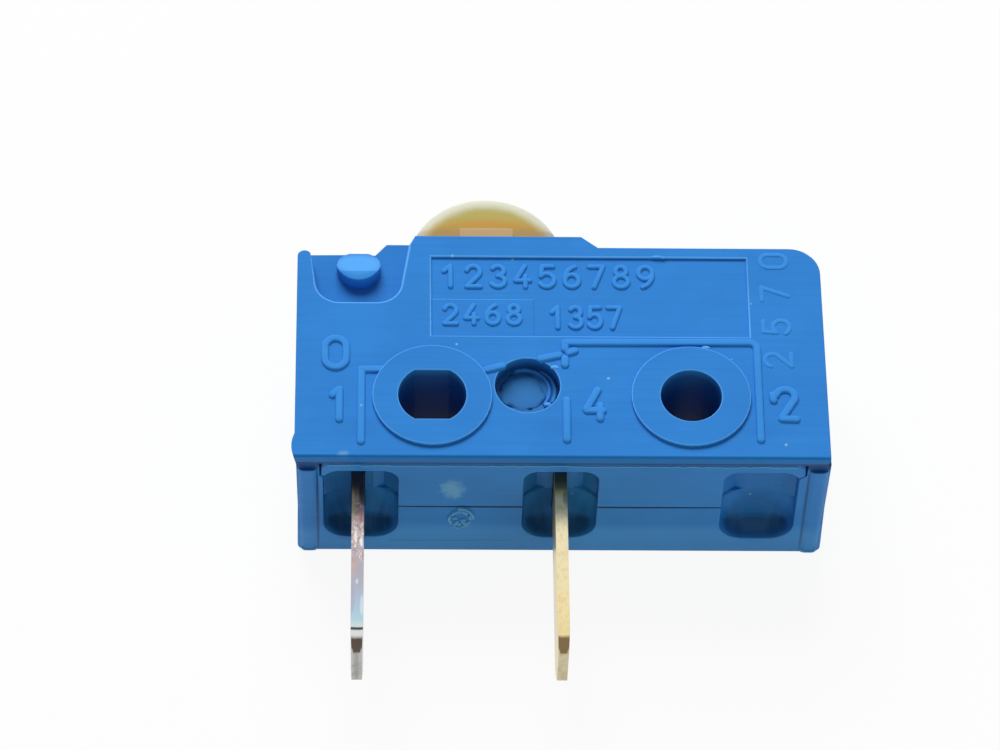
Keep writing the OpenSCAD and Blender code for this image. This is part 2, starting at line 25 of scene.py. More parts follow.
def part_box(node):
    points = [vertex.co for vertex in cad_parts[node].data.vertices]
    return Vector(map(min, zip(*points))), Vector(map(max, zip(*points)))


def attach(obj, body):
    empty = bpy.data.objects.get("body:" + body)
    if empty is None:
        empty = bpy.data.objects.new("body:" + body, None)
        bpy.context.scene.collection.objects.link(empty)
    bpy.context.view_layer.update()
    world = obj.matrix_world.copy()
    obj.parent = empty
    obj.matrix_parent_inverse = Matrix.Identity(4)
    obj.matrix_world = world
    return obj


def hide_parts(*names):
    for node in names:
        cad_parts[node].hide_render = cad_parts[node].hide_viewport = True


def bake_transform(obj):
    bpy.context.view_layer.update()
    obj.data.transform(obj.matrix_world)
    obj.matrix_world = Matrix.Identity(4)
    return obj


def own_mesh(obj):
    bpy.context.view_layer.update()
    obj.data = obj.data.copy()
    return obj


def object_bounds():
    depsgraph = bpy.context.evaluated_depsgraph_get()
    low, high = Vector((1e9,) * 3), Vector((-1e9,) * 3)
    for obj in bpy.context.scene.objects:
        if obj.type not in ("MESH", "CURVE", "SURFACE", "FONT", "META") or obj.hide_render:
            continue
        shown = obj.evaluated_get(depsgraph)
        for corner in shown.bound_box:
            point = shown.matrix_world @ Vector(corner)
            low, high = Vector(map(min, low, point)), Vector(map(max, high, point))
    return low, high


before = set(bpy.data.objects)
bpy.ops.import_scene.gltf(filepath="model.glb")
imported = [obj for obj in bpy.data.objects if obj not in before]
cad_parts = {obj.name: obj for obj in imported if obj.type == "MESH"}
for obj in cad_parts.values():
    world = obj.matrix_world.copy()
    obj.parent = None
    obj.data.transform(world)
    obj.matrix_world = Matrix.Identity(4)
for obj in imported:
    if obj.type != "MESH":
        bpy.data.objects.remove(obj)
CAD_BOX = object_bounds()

LOG = logging.getLogger("switch_looks")
MM = 0.001
MERGE = 0.0005 * MM
FLAT_ANGLE = math.radians(0.5)
SHARP_ANGLE = math.radians(28)
LINE_ANGLE = math.radians(32)
SMOOTH_ANGLE = math.radians(40)
SIDE_ANGLES = (0, 25, 50, 75, 90)
END_ANGLES = (84, 66, 44, 22)
ARC_STEP = 15
ARC_LEAST = 3
BURR_SEED = 3
PLATE_LEAN = 0.2
POCKETS = (-12.2, -4.75, 2.7)
RAIL_TOPS = (-14.05, 4.67)
RAIL_FEET = (-13.69, 4.32)

Colour = tuple[float, float, float, float]
Point2 = tuple[float, float]
Point3 = tuple[float, float, float]
Stroke = list[Point2]
Bands = tuple[tuple[float, str], ...]
Socket = bpy.types.NodeSocket
Object = bpy.types.Object
Material = bpy.types.Material
NodeTree = bpy.types.NodeTree
Mesh = bpy.types.Mesh


class Body(Enum):
    """Bodies of the switch that a piece can ride on."""

    HOUSING = "housing"
    PLUNGER = "plunger"


class Effect(Enum):
    """Surface effects that several finishes share, each one node group."""

    TOOLING = "tooling_lines"
    MOTTLE = "mottle"
    SPECKS = "specks"
    SPOT = "spot"
    WELL = "well"


class Face(Enum):
    """Faces of the housing that raised marks stand on."""

    FRONT = "front"
    UNDERSIDE = "underside"


class Tone(Enum):
    """Places of the two finishes on an eased piece: its body, and its eased edges, of which the pale ones
    carry a painted highlight.
    """

    BODY = 0
    EDGE = 1


def srgb(code: str) -> Colour:
    """Turns a screen colour into a linear one.

    Args:
        code: Six hexadecimal digits after a hash sign.

    Returns:
        Red, green, blue and alpha as linear values.
    """
    parts = [int(code[i:i + 2], 16) / 255 for i in (1, 3, 5)]
    red, green, blue = (c / 12.92 if c <= 0.04045 else ((c + 0.055) / 1.055) ** 2.4 for c in parts)
    return (red, green, blue, 1.0)


def metres(*values: float) -> Vector:
    """Gives a point in metres from millimetres."""
    return Vector(values) * MM


def select_only(piece: Object) -> None:
    """Deselects everything and makes one piece active and selected."""
    bpy.ops.object.select_all(action="DESELECT")
    piece.select_set(True)
    bpy.context.view_layer.objects.active = piece


def new_object(name: str, data: bpy.types.ID) -> Object:
    """Makes an object of a mesh or curve.

    Args:
        name: Name of the object.
        data: The mesh or curve.

    Returns:
        The object, which is in the scene.
    """
    made = bpy.data.objects.new(name, data)
    bpy.context.scene.collection.objects.link(made)
    return made


@contextmanager
def whole_mesh_edit() -> Iterator[None]:
    """Opens the active piece's mesh for edits, with all of it selected, and closes it afterwards."""
    bpy.ops.object.mode_set(mode="EDIT")
    bpy.ops.mesh.select_all(action="SELECT")
    yield
    bpy.ops.object.mode_set(mode="OBJECT")


def apply_modifier(piece: Object, kind: str, **settings: object) -> None:
    """Adds a modifier to a piece and applies it.

    Args:
        piece: The mesh object.
        kind: Blender's name of the modifier's type.
        settings: The modifier's properties.
    """
    select_only(piece)
    modifier = piece.modifiers.new(kind.title(), kind)
    for name, value in settings.items():
        setattr(modifier, name, value)
    bpy.ops.object.modifier_apply(modifier=modifier.name)


class Graph:
    """A shader node tree under construction."""

    def __init__(self, tree: NodeTree) -> None:
        """Starts on an empty tree."""
        self.tree = tree

    def node(self, kind: str, inputs: dict | None = None, **settings: object) -> bpy.types.Node:
        """Adds a node.

        Args:
            kind: Blender's type name of the node.
            inputs: Values or sockets by input name or number.
            settings: Properties of the node.

        Returns:
            The new node.
        """
        made = self.tree.nodes.new(kind)
        for name, value in settings.items():
            setattr(made, name, value)
        for key, value in (inputs or {}).items():
            if isinstance(value, Socket):
                self.tree.links.new(value, made.inputs[key])
            else:
                made.inputs[key].default_value = value
        return made

    def math(self, operation: str, *values: float | Socket) -> Socket:
        """Adds a math node and gives its result."""
        return self.node("ShaderNodeMath", dict(enumerate(values)), operation=operation).outputs[0]

    def vector(self, operation: str, *values: object) -> Socket:
        """Adds a vector math node and gives its vector result."""
        return self.node("ShaderNodeVectorMath", dict(enumerate(values)), operation=operation).outputs[0]

    def length(self, value: Socket) -> Socket:
        """Gives the length of a vector."""
        return self.node("ShaderNodeVectorMath", {0: value}, operation="LENGTH").outputs["Value"]

    def axis(self, value: Socket, number: int) -> Socket:
        """Gives one part of a vector."""
        return self.node("ShaderNodeSeparateXYZ", {0: value}).outputs[number]

    def blend(self, factor: float | Socket, first: object, second: object) -> Socket:
        """Mixes two colours.

        Args:
            factor: Share of the second colour.
            first: Colour or socket.
            second: Colour or socket.

        Returns:
            The mixed colour.
        """
        return self.node("ShaderNodeMix", {0: factor, 6: first, 7: second}, data_type="RGBA").outputs[2]

    def lay(self, mask: Socket, share: float, under: object, over: object) -> Socket:
        """Lays a colour over another by a share of a mask."""
        return self.blend(self.math("MULTIPLY", mask, share), under, over)

    def ramp(self, factor: Socket, stops: Iterable[tuple[float, Colour]]) -> Socket:
        """Turns a value into a colour along a row of stops."""
        made = self.node("ShaderNodeValToRGB", {0: factor})
        points = list(stops)
        elements = made.color_ramp.elements
        while len(elements) < len(points):
            elements.new(1.0)
        for element, (place, colour) in zip(elements, points):
            element.position = place
            element.color = colour
        return made.outputs[0]

    def span(self, value: Socket, low: float | Socket, high: float | Socket) -> Socket:
        """Maps a value from low to high onto 0 to 1, smoothly."""
        made = self.node("ShaderNodeMapRange", {0: value, 1: low, 2: high}, interpolation_type="SMOOTHSTEP")
        return made.outputs[0]

    def place_mm(self) -> Socket:
        """Gives the piece's own coordinates in millimetres."""
        own = self.node("ShaderNodeTexCoord").outputs["Object"]
        return self.node("ShaderNodeVectorMath", {0: own, "Scale": 1 / MM}, operation="SCALE").outputs[0]

    def noise(self, place: Socket, scale: float | Socket, detail: float = 2.0) -> Socket:
        """Adds a noise texture and gives its value."""
        return self.node("ShaderNodeTexNoise", {"Vector": place, "Scale": scale, "Detail": detail}).outputs[0]

    def effect(self, effect: Effect, **inputs: object) -> Socket:
        """Places a shared effect, with values by input name, and gives its result."""
        made = self.node("ShaderNodeGroup", node_tree=shared_effect(effect))
        for name, value in inputs.items():
            made.inputs[name].default_value = value
        return made.outputs[0]


@dataclass(frozen=True)
class GroupSocket:
    """One input or output of a shared effect."""

    name: str
    kind: str
    default: object = None


FLOAT = "NodeSocketFloat"
VECTOR = "NodeSocketVector"


def new_group(effect: Effect, inputs: Iterable[GroupSocket]) -> tuple[Graph, bpy.types.Node, Socket]:
    """Makes an empty node group that puts out one value.

    Args:
        effect: The effect that the group holds.
        inputs: Its input sockets.

    Returns:
        The graph, its input node and the socket that takes the result.
    """
    tree = bpy.data.node_groups.new(effect.value, "ShaderNodeTree")
    for socket in inputs:
        made = tree.interface.new_socket(socket.name, in_out="INPUT", socket_type=socket.kind)
        made.default_value = socket.default
    tree.interface.new_socket("Value", in_out="OUTPUT", socket_type=FLOAT)
    graph = Graph(tree)
    return graph, graph.node("NodeGroupInput"), graph.node("NodeGroupOutput").inputs[0]


@lru_cache(maxsize=None)
def shared_effect(effect: Effect) -> NodeTree:
    """Builds a shared effect once.

    Args:
        effect: Which effect.

    Returns:
        Its node group.
    """
    builders = {
        Effect.TOOLING: tooling_group,
        Effect.MOTTLE: mottle_group,
        Effect.SPECKS: specks_group,
        Effect.SPOT: spot_group,
        Effect.WELL: well_group,
    }
    return builders[effect]()


def tooling_group() -> NodeTree:
    """Builds the fine lines that a milled mould leaves along X."""
    graph, into, result = new_group(
        Effect.TOOLING, [GroupSocket("Lines per mm", FLOAT, 9.0), GroupSocket("Run", FLOAT, 0.12)])
    stretch = graph.node("ShaderNodeCombineXYZ", {
        0: into.outputs["Run"], 1: into.outputs["Lines per mm"], 2: into.outputs["Lines per mm"]})
    place = graph.vector("MULTIPLY", graph.place_mm(), stretch.outputs[0])
    graph.tree.links.new(graph.noise(place, scale=1.0, detail=3.0), result)
    return graph.tree


def mottle_group() -> NodeTree:
    """Builds soft blotches from 0 to 1."""
    graph, into, result = new_group(Effect.MOTTLE, [GroupSocket("Blotches per mm", FLOAT, 0.4)])
    cloud = graph.noise(graph.place_mm(), into.outputs["Blotches per mm"], detail=3.0)
    graph.tree.links.new(graph.span(cloud, low=0.3, high=0.7), result)
    return graph.tree


def specks_group() -> NodeTree:
    """Builds a mask of small scattered grains."""
    graph, into, result = new_group(Effect.SPECKS, [
        GroupSocket("Cells per mm", FLOAT, 0.9), GroupSocket("Size", FLOAT, 0.05),
        GroupSocket("Share", FLOAT, 0.3)])
    cells = graph.node("ShaderNodeTexVoronoi", {
        "Vector": graph.place_mm(), "Scale": into.outputs["Cells per mm"]})
    near = graph.math("LESS_THAN", cells.outputs["Distance"], into.outputs["Size"])
    pick = graph.node("ShaderNodeSeparateColor", {0: cells.outputs["Color"]}).outputs[0]
    chosen = graph.math("LESS_THAN", pick, into.outputs["Share"])
    graph.tree.links.new(graph.math("MULTIPLY", near, chosen), result)
    return graph.tree


def spot_group() -> NodeTree:
    """Builds a ragged patch round a point, from 1 at its middle to 0 outside."""
    graph, into, result = new_group(Effect.SPOT, [
        GroupSocket("Centre", VECTOR, (0, 0, 0)), GroupSocket("Radius", VECTOR, (1, 1, 1)),
        GroupSocket("Ragged", FLOAT, 0.4)])
    place = graph.place_mm()
    off = graph.vector("SUBTRACT", place, into.outputs["Centre"])
    far = graph.length(graph.vector("DIVIDE", off, into.outputs["Radius"]))
    rough = graph.math("MULTIPLY", graph.noise(place, scale=4.0, detail=4.0), into.outputs["Ragged"])
    outside = graph.span(graph.math("ADD", far, rough), low=0.7, high=1.2)
    graph.tree.links.new(graph.math("SUBTRACT", 1.0, outside), result)
    return graph.tree


def well_group() -> NodeTree:
    """Builds the shade of a sunk place, from 0 at its top to 1 at its bottom, between two corners."""
    graph, into, result = new_group(Effect.WELL, [
        GroupSocket("Low", VECTOR, (0, 0, 0)), GroupSocket("High", VECTOR, (1, 1, 0)),
        GroupSocket("Top", FLOAT, 1.0), GroupSocket("Bottom", FLOAT, 0.0)])
    place = graph.place_mm()
    above = graph.vector("SUBTRACT", place, into.outputs["Low"])
    below = graph.vector("SUBTRACT", into.outputs["High"], place)
    least = graph.vector("MINIMUM", above, below)
    nearest = graph.math("MINIMUM", graph.axis(least, 0), graph.axis(least, 1))
    inside = graph.math("GREATER_THAN", nearest, 0.0)
    deep = graph.span(graph.axis(place, 2), into.outputs["Top"], into.outputs["Bottom"])
    graph.tree.links.new(graph.math("MULTIPLY", inside, deep), result)
    return graph.tree


def new_material(name: str) -> tuple[Material, Graph, Socket]:
    """Makes an empty material.

    Args:
        name: Its name.

    Returns:
        The material, its graph and the socket that takes its shader.
    """
    material = bpy.data.materials.new(name)
    material.use_nodes = True
    material.node_tree.nodes.clear()
    graph = Graph(material.node_tree)
    return material, graph, graph.node("ShaderNodeOutputMaterial").inputs[0]


def wear(piece: Object, *materials: Material) -> None:
    """Gives a piece its finish, or its finishes in the order of its face numbers."""
    piece.data.materials.clear()
    for material in materials:
        piece.data.materials.append(material)


@dataclass(frozen=True)
class Patch:
    """A soft-edged patch of another colour, round a point."""

    centre: Point3
    radius: Point3
    colour: str
    share: float
    ragged: float = 0.0

    def paint(self, graph: Graph, colour: Socket) -> Socket:
        """Lays the patch over a colour."""
        spot = graph.effect(Effect.SPOT, Centre=self.centre, Radius=self.radius, Ragged=self.ragged)
        return graph.lay(spot, self.share, colour, srgb(self.colour))


@dataclass(frozen=True)
class Well:
    """A sunk place whose walls and floor are painted darker with depth, as painted shade."""

    low: Point2
    high: Point2
    top: float
    depth: float
    share: float
    painted_shade: str = "#1d2126"

    def paint(self, graph: Graph, colour: Socket) -> Socket:
        """Lays the painted shade of the sunk place over a colour."""
        shade = graph.effect(Effect.WELL, Low=(*self.low, 0.0), High=(*self.high, 0.0),
                             Top=self.top, Bottom=self.top - self.depth)
        return graph.lay(shade, self.share, colour, srgb(self.painted_shade))


@dataclass(frozen=True)
class MouldedPlastic:
    """Satin moulded plastic with tooling lines, soft blotches, pale specks, stains, and painted shade and
    painted light in places.
    """

    name: str
    colour: Colour
    deep: Colour
    pale: Colour
    roughness: float = 0.42
    line_height: float = 0.003
    patches: tuple[Patch, ...] = ()
    wells: tuple[Well, ...] = ()
    blotch_share: float = 0.5
    line_share: float = 0.45
    line_limits: Point2 = (0.4, 0.7)
    speck_share: float = 0.6
    gloss_swing: float = 0.16
    ior: float = 1.48
    specular: float = 0.2

    def material(self) -> Material:
        """Builds the finish."""
        material, graph, out = new_material(self.name)
        lines = graph.effect(Effect.TOOLING)
        tone = graph.lay(graph.effect(Effect.MOTTLE), self.blotch_share, self.colour, self.deep)
        lined = graph.lay(graph.span(lines, *self.line_limits), self.line_share, tone, self.deep)
        colour = graph.lay(graph.effect(Effect.SPECKS), self.speck_share, lined, self.pale)
        # Wells and patches lay stains, painted shade and painted light over the colour.
        for stain_and_shading in (*self.wells, *self.patches):
            colour = stain_and_shading.paint(graph, colour)
        gloss = graph.math("MULTIPLY_ADD", lines, self.gloss_swing, self.roughness - self.gloss_swing / 2)
        bump = graph.node("ShaderNodeBump", {"Height": lines, "Distance": self.line_height * MM})
        shader = graph.node("ShaderNodeBsdfPrincipled", {
            "Base Color": colour, "Roughness": gloss, "Normal": bump.outputs[0], "IOR": self.ior,
            "Specular IOR Level": self.specular})
        graph.tree.links.new(shader.outputs[0], out)
        return material


@dataclass(frozen=True)
class MilkyNylon:
    """Milky olive plastic with painted light: a pale painted rim light at the crown's rim, a painted amber
    glow where it is thickest, painted shade low down inside the rim, and a paler peach rib front.
    """

    name: str
    crown: Point2
    radius: float
    glow: Point3
    glow_radius: Point3
    rib_front: float
    widen: Point3 = (0.9, 1.0, 0.0)
    cloudy: float = 0.08
    rim_limits: Point2 = (0.67, 0.82)
    shade_ends: Point2 = (8.15, 8.6)
    rib_fade: Point2 = (0.2, 0.05)
    amber_share: float = 0.78
    shade_share: float = 0.45
    peach_share: float = 0.8
    rim: Colour = srgb("#cdceb8")
    olive: Colour = srgb("#b9ab5e")
    amber: Colour = srgb("#c48f38")
    peach: Colour = srgb("#c2a378")
    shade: Colour = srgb("#8d8468")
    grain_height: float = 0.002
    roughness: float = 0.38
    ior: float = 1.5
    milk: float = 0.2
    milk_reach: Point3 = (1.0, 0.7, 0.35)
    milk_depth: float = 0.6

    def material(self) -> Material:
        """Builds the finish."""
        material, graph, out = new_material(self.name)
        place = graph.place_mm()
        flat = graph.vector("MULTIPLY", graph.vector("SUBTRACT", place, (*self.crown, 0.0)), self.widen)
        haze = graph.noise(place, scale=1.2, detail=3.0)
        cloud = graph.math("MULTIPLY_ADD", haze, self.cloudy, -self.cloudy / 2)
        share = graph.math("ADD", graph.math("DIVIDE", graph.length(flat), self.radius), cloud)
        # Painted rim light: paler towards the crown's rim.
        rim = graph.span(share, *self.rim_limits)
        colour = graph.blend(rim, self.olive, self.rim)
        # Painted amber glow of light through the thickest part.
        glow = graph.effect(Effect.SPOT, Centre=self.glow, Radius=self.glow_radius, Ragged=0.1)
        colour = graph.lay(glow, self.amber_share, colour, self.amber)
        # Painted shade low down inside the rim, near the housing.
        low = graph.math("SUBTRACT", 1.0, graph.span(graph.axis(place, 1), *self.shade_ends))
        inner = graph.math("MULTIPLY", low, graph.math("SUBTRACT", 1.0, rim))
        colour = graph.lay(inner, self.shade_share, colour, self.shade)
        # The rib's front painted a paler peach, with less of the painted glow.
        rib = graph.span(graph.axis(place, 2), *(self.rib_front - fade for fade in self.rib_fade))
        colour = graph.lay(rib, self.peach_share, colour, self.peach)
        bump = graph.node("ShaderNodeBump", {
            "Height": graph.noise(place, scale=9.0, detail=3.0), "Distance": self.grain_height * MM})
        shader = graph.node("ShaderNodeBsdfPrincipled", {
            "Base Color": colour, "Roughness": self.roughness, "IOR": self.ior, "Normal": bump.outputs[0],
            "Subsurface Weight": self.milk, "Subsurface Radius": self.milk_reach,
            "Subsurface Scale": self.milk_depth * MM})
        graph.tree.links.new(shader.outputs[0], out)
        return material


@dataclass(frozen=True)
class Fleck:
    """Soft grains of another colour, on part of a blade's length."""

    colour: str
    share: float
    ends: Point2
    grains_per_mm: Point3
    limits: Point2
    fade: float = 0.3

    def paint(self, graph: Graph, place: Socket, colour: Socket) -> Socket:
        """Strews the grains over a colour.

        Args:
            graph: The material's graph.
            place: The piece's coordinates in millimetres.
            colour: The colour under the grains.

        Returns:
            The colour with the grains.
        """
        along = graph.axis(place, 1)
        high, low = self.ends
        begun, ahead = graph.span(along, high, high - self.fade), graph.span(along, low, low + self.fade)
        zone = graph.math("MULTIPLY", begun, ahead)
        cloud = graph.noise(graph.vector("MULTIPLY", place, self.grains_per_mm), scale=1.0)
        grains = graph.math("MULTIPLY", zone, graph.span(cloud, *self.limits))
        return graph.lay(grains, self.share, colour, srgb(self.colour))


@dataclass(frozen=True)
class BareMetal:
    """Rolled metal with draw lines, tarnish in bands along its length, grains and patches.

    On the blades the bands also hold painted shade at the root inside the pocket and on the tip's end
    chamfer. A blade's wide sides, which lean in towards its tip, can have calmer bands than its edges;
    the brass blade's are painted paler as a painted reflection of the white surroundings.
    """

    name: str
    bands: Bands
    roughness: float = 0.3
    drift: float = 0.02
    flecks: tuple[Fleck, ...] = ()
    patches: tuple[Patch, ...] = ()
    side_bands: Bands = ()
    middle: float = 0.0
    half: float = 0.225
    tip: float = -8.65
    lean: float = 0.044
    skin: float = 0.004
    dull_ends: Point2 = (90.0, 80.0)
    dull_metal: float = 0.15
    grain_per_mm: Point3 = (22.0, 1.5, 22.0)
    grain_height: float = 0.0012
    gloss_swing: float = 0.2

    def banded(self, graph: Graph, place: Socket, bands: Bands) -> Socket:
        """Gives the colour of bands whose places along Y run from high to low.

        Args:
            graph: The material's graph.
            place: The piece's coordinates in millimetres.
            bands: Places and colours.

        Returns:
            The colour.
        """
        start, end = bands[0][0], bands[-1][0]
        along = graph.node("ShaderNodeMapRange", {0: graph.axis(place, 1), 1: start, 2: end}).outputs[0]
        cloud = graph.noise(place, scale=2.6, detail=4.0)
        wander = graph.math("MULTIPLY_ADD", cloud, self.drift, -self.drift / 2)
        stops = [((y - start) / (end - start), srgb(code)) for y, code in bands]
        return graph.ramp(graph.math("ADD", along, wander), stops)

    def on_side(self, graph: Graph, place: Socket) -> Socket:
        """Gives 1 on the wide sides and 0 on the edges."""
        off = graph.math("ABSOLUTE", graph.math("SUBTRACT", graph.axis(place, 0), self.middle))
        past = graph.math("MAXIMUM", graph.math("SUBTRACT", self.tip, graph.axis(place, 1)), 0.0)
        spread = graph.math("MULTIPLY_ADD", past, self.lean, off)
        return graph.math("GREATER_THAN", spread, self.half - self.skin)

    def material(self) -> Material:
        """Builds the finish."""
        material, graph, out = new_material(self.name)
        place = graph.place_mm()
        colour = self.banded(graph, place, self.bands)
        for fleck in self.flecks:
            colour = fleck.paint(graph, place, colour)
        for patch in self.patches:
            colour = patch.paint(graph, colour)
        if self.side_bands:
            sides = self.banded(graph, place, self.side_bands)
            colour = graph.blend(self.on_side(graph, place), colour, sides)
        # Towards the root the metal is less metallic, so that its painted colours, painted shade among them,
        # show rather than mirrored surroundings.
        bright = graph.span(graph.axis(place, 1), *self.dull_ends)
        metal = graph.math("MULTIPLY_ADD", bright, 1 - self.dull_metal, self.dull_metal)
        grain = graph.noise(graph.vector("MULTIPLY", place, self.grain_per_mm), scale=1.0, detail=3.0)
        gloss = graph.math("MULTIPLY_ADD", grain, self.gloss_swing, self.roughness - self.gloss_swing / 2)
        bump = graph.node("ShaderNodeBump", {"Height": grain, "Distance": self.grain_height * MM})
        shader = graph.node("ShaderNodeBsdfPrincipled", {
            "Base Color": colour, "Metallic": metal, "Roughness": gloss, "Normal": bump.outputs[0]})
        graph.tree.links.new(shader.outputs[0], out)
        return material


@dataclass(frozen=True)
class EdgeRule:
    """Which edges of a piece are eased, and how far."""

    radius: float
    where: Callable[[Vector], bool]


class SurfaceNormals:
    """A solid's own surface normals, found again on an eased copy of it."""

    near_share = 0.05
    same_face = 0.9

    def __init__(self, mesh: Mesh) -> None:
        """Reads the solid's mesh."""
        mesh.calc_loop_triangles()
        self.corners = [vertex.co.copy() for vertex in mesh.vertices]
        self.triangles = [tuple(t.vertices) for t in mesh.loop_triangles]
        self.planes = [t.normal.copy() for t in mesh.loop_triangles]
        self.normals = [[mesh.corner_normals[i].vector.copy() for i in t.loops] for t in mesh.loop_triangles]
        self.tree = BVHTree.FromPolygons(self.corners, self.triangles)

    def at(self, place: Vector, centre: Vector, plane: Vector) -> Vector:
        """Finds the normal at a corner of a face.

        Args:
            place: The corner.
            centre: Middle of the face.
            plane: The face's flat normal, which counts where no like face is found.

        Returns:
            The normal of the solid's surface there.
        """
        index = self.tree.find_nearest(place.lerp(centre, self.near_share))[2]
        if self.planes[index].dot(plane) < self.same_face:
            return plane
        shares = poly_3d_calc([self.corners[i] for i in self.triangles[index]], place)
        total = sum((normal * share for normal, share in zip(self.normals[index], shares)), Vector())
        return total.normalized()

    def give_to(self, mesh: Mesh, soft: Callable[[Vector], bool]) -> None:
        """Sets the normals of an eased copy, whose eased faces turn from one face to the next.

        Args:
            mesh: The copy's mesh.
            soft: Tells by a point in millimetres whether the faces that meet there share one normal.
        """
        known: dict[int, list[Vector]] = {}
        result: list[Vector] = [corner.vector.copy() for corner in mesh.corner_normals]
        for polygon in mesh.polygons:
            if polygon.material_index == Tone.EDGE.value:
                continue
            for loop, vertex in zip(polygon.loop_indices, polygon.vertices):
                result[loop] = self.at(mesh.vertices[vertex].co, polygon.center, polygon.normal)
                known.setdefault(vertex, []).append(result[loop])
        for polygon in mesh.polygons:
            if polygon.material_index == Tone.EDGE.value:
                for loop, vertex in zip(polygon.loop_indices, polygon.vertices):
                    if vertex in known:
                        result[loop] = max(known[vertex], key=polygon.normal.dot)
        shared: dict[int, Vector] = {}
        for loop in mesh.loops:
            if soft(mesh.vertices[loop.vertex_index].co / MM):
                shared[loop.vertex_index] = shared.get(loop.vertex_index, Vector()) + result[loop.index]
        for loop in mesh.loops:
            if loop.vertex_index in shared:
                result[loop.index] = shared[loop.vertex_index].normalized()
        mesh.normals_split_custom_set(result)


def merged_copy(node: str, name: str, finishes: Iterable[Material],
                flatten: bool = False) -> Object:
    """Copies a solid as a new piece, with the corners of its loose triangles merged.

    Args:
        node: The solid's node.
        name: Name of the copy.
        finishes: Its finishes.
        flatten: Whether triangles that lie in one plane become one face.

    Returns:
        The copy, which rides on nothing yet.
    """
    piece = new_object(name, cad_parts[node].data.copy())
    wear(piece, *finishes)
    select_only(piece)
    with whole_mesh_edit():
        bpy.ops.mesh.remove_doubles(threshold=MERGE)
        if flatten:
            bpy.ops.mesh.dissolve_limited(angle_limit=FLAT_ANGLE)
    return piece


def eased_copy(node: str, name: str, rules: Iterable[EdgeRule], finishes: Iterable[Material],
               pale: Callable[[Vector], bool], settle: Callable[[Vector], Vector],
               soft: Callable[[Vector], bool] = lambda p: False) -> Object:
    """Copies a solid, settles its corners and eases its sharp outward edges.

    Args:
        node: The solid's node.
        name: Name of the copy.
        rules: Rules by an edge's middle in millimetres; the first that holds counts.
        finishes: Finish of the faces, then of the pale eased edges, which is a painted highlight.
        pale: Tells by a point in millimetres whether an eased edge is pale, with the painted highlight.
        settle: Gives the place of a corner of the copy from its place on the solid, in millimetres.
        soft: Tells by a point in millimetres whether the faces that meet there share one normal.

    Returns:
        The copy, which rides on nothing yet.
    """
    piece = merged_copy(node, name, finishes, flatten=True)
    piece.data.polygons.foreach_set("material_index", [Tone.BODY.value] * len(piece.data.polygons))
    for vertex in piece.data.vertices:
        vertex.co = settle(vertex.co / MM) * MM
    rules = list(rules)
    widest = max(rule.radius for rule in rules)
    weights = piece.data.attributes.new("bevel_weight_edge", "FLOAT", "EDGE")
    weights.data.foreach_set("value", [share / widest for share in easing(piece.data, rules)])
    apply_modifier(piece, "BEVEL", limit_method="WEIGHT", width=widest * MM, segments=3,
                   material=Tone.EDGE.value, use_clamp_overlap=False, loop_slide=False,
                   miter_outer="MITER_SHARP")
    bpy.ops.object.shade_smooth_by_angle(angle=SMOOTH_ANGLE)
    SurfaceNormals(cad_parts[node].data).give_to(piece.data, soft)
    # Eased edges that pale does not pick go back to the body finish; the others keep the painted highlight.
    for polygon in piece.data.polygons:
        if polygon.material_index == Tone.EDGE.value and not pale(polygon.center / MM):
            polygon.material_index = Tone.BODY.value
    return piece


def easing(mesh: Mesh, rules: list[EdgeRule]) -> list[float]:
    """Works out how far each edge of a mesh is eased.

    Args:
        mesh: The mesh.
        rules: Rules by an edge's middle in millimetres; the first that holds counts.

    Returns:
        One radius in millimetres for each edge, 0 where it stays sharp.
    """
    work = bmesh.new()
    work.from_mesh(mesh)
    radii = []
    for edge in work.edges:
        sharp = len(edge.link_faces) == 2 and edge.calc_face_angle_signed() > SHARP_ANGLE
        middle = (edge.verts[0].co + edge.verts[1].co) / (2 * MM)
        rule = next((r for r in rules if r.where(middle)), None) if sharp else None
        radii.append(rule.radius if rule else 0.0)
    work.free()
    return radii


def arc(centre: Point2, radii: Point2, start: float, end: float) -> Stroke:
    """Draws part of an ellipse.

    Args:
        centre: Its middle.
        radii: Its half axes along X and Y.
        start: Angle of the first point, in degrees.
        end: Angle of the last point.

    Returns:
        Points along it.
    """
    steps = max(ARC_LEAST, round(abs(end - start) / ARC_STEP))
    angles = [math.radians(start + (end - start) * i / steps) for i in range(steps + 1)]
    return [(centre[0] + radii[0] * math.cos(a), centre[1] + radii[1] * math.sin(a)) for a in angles]


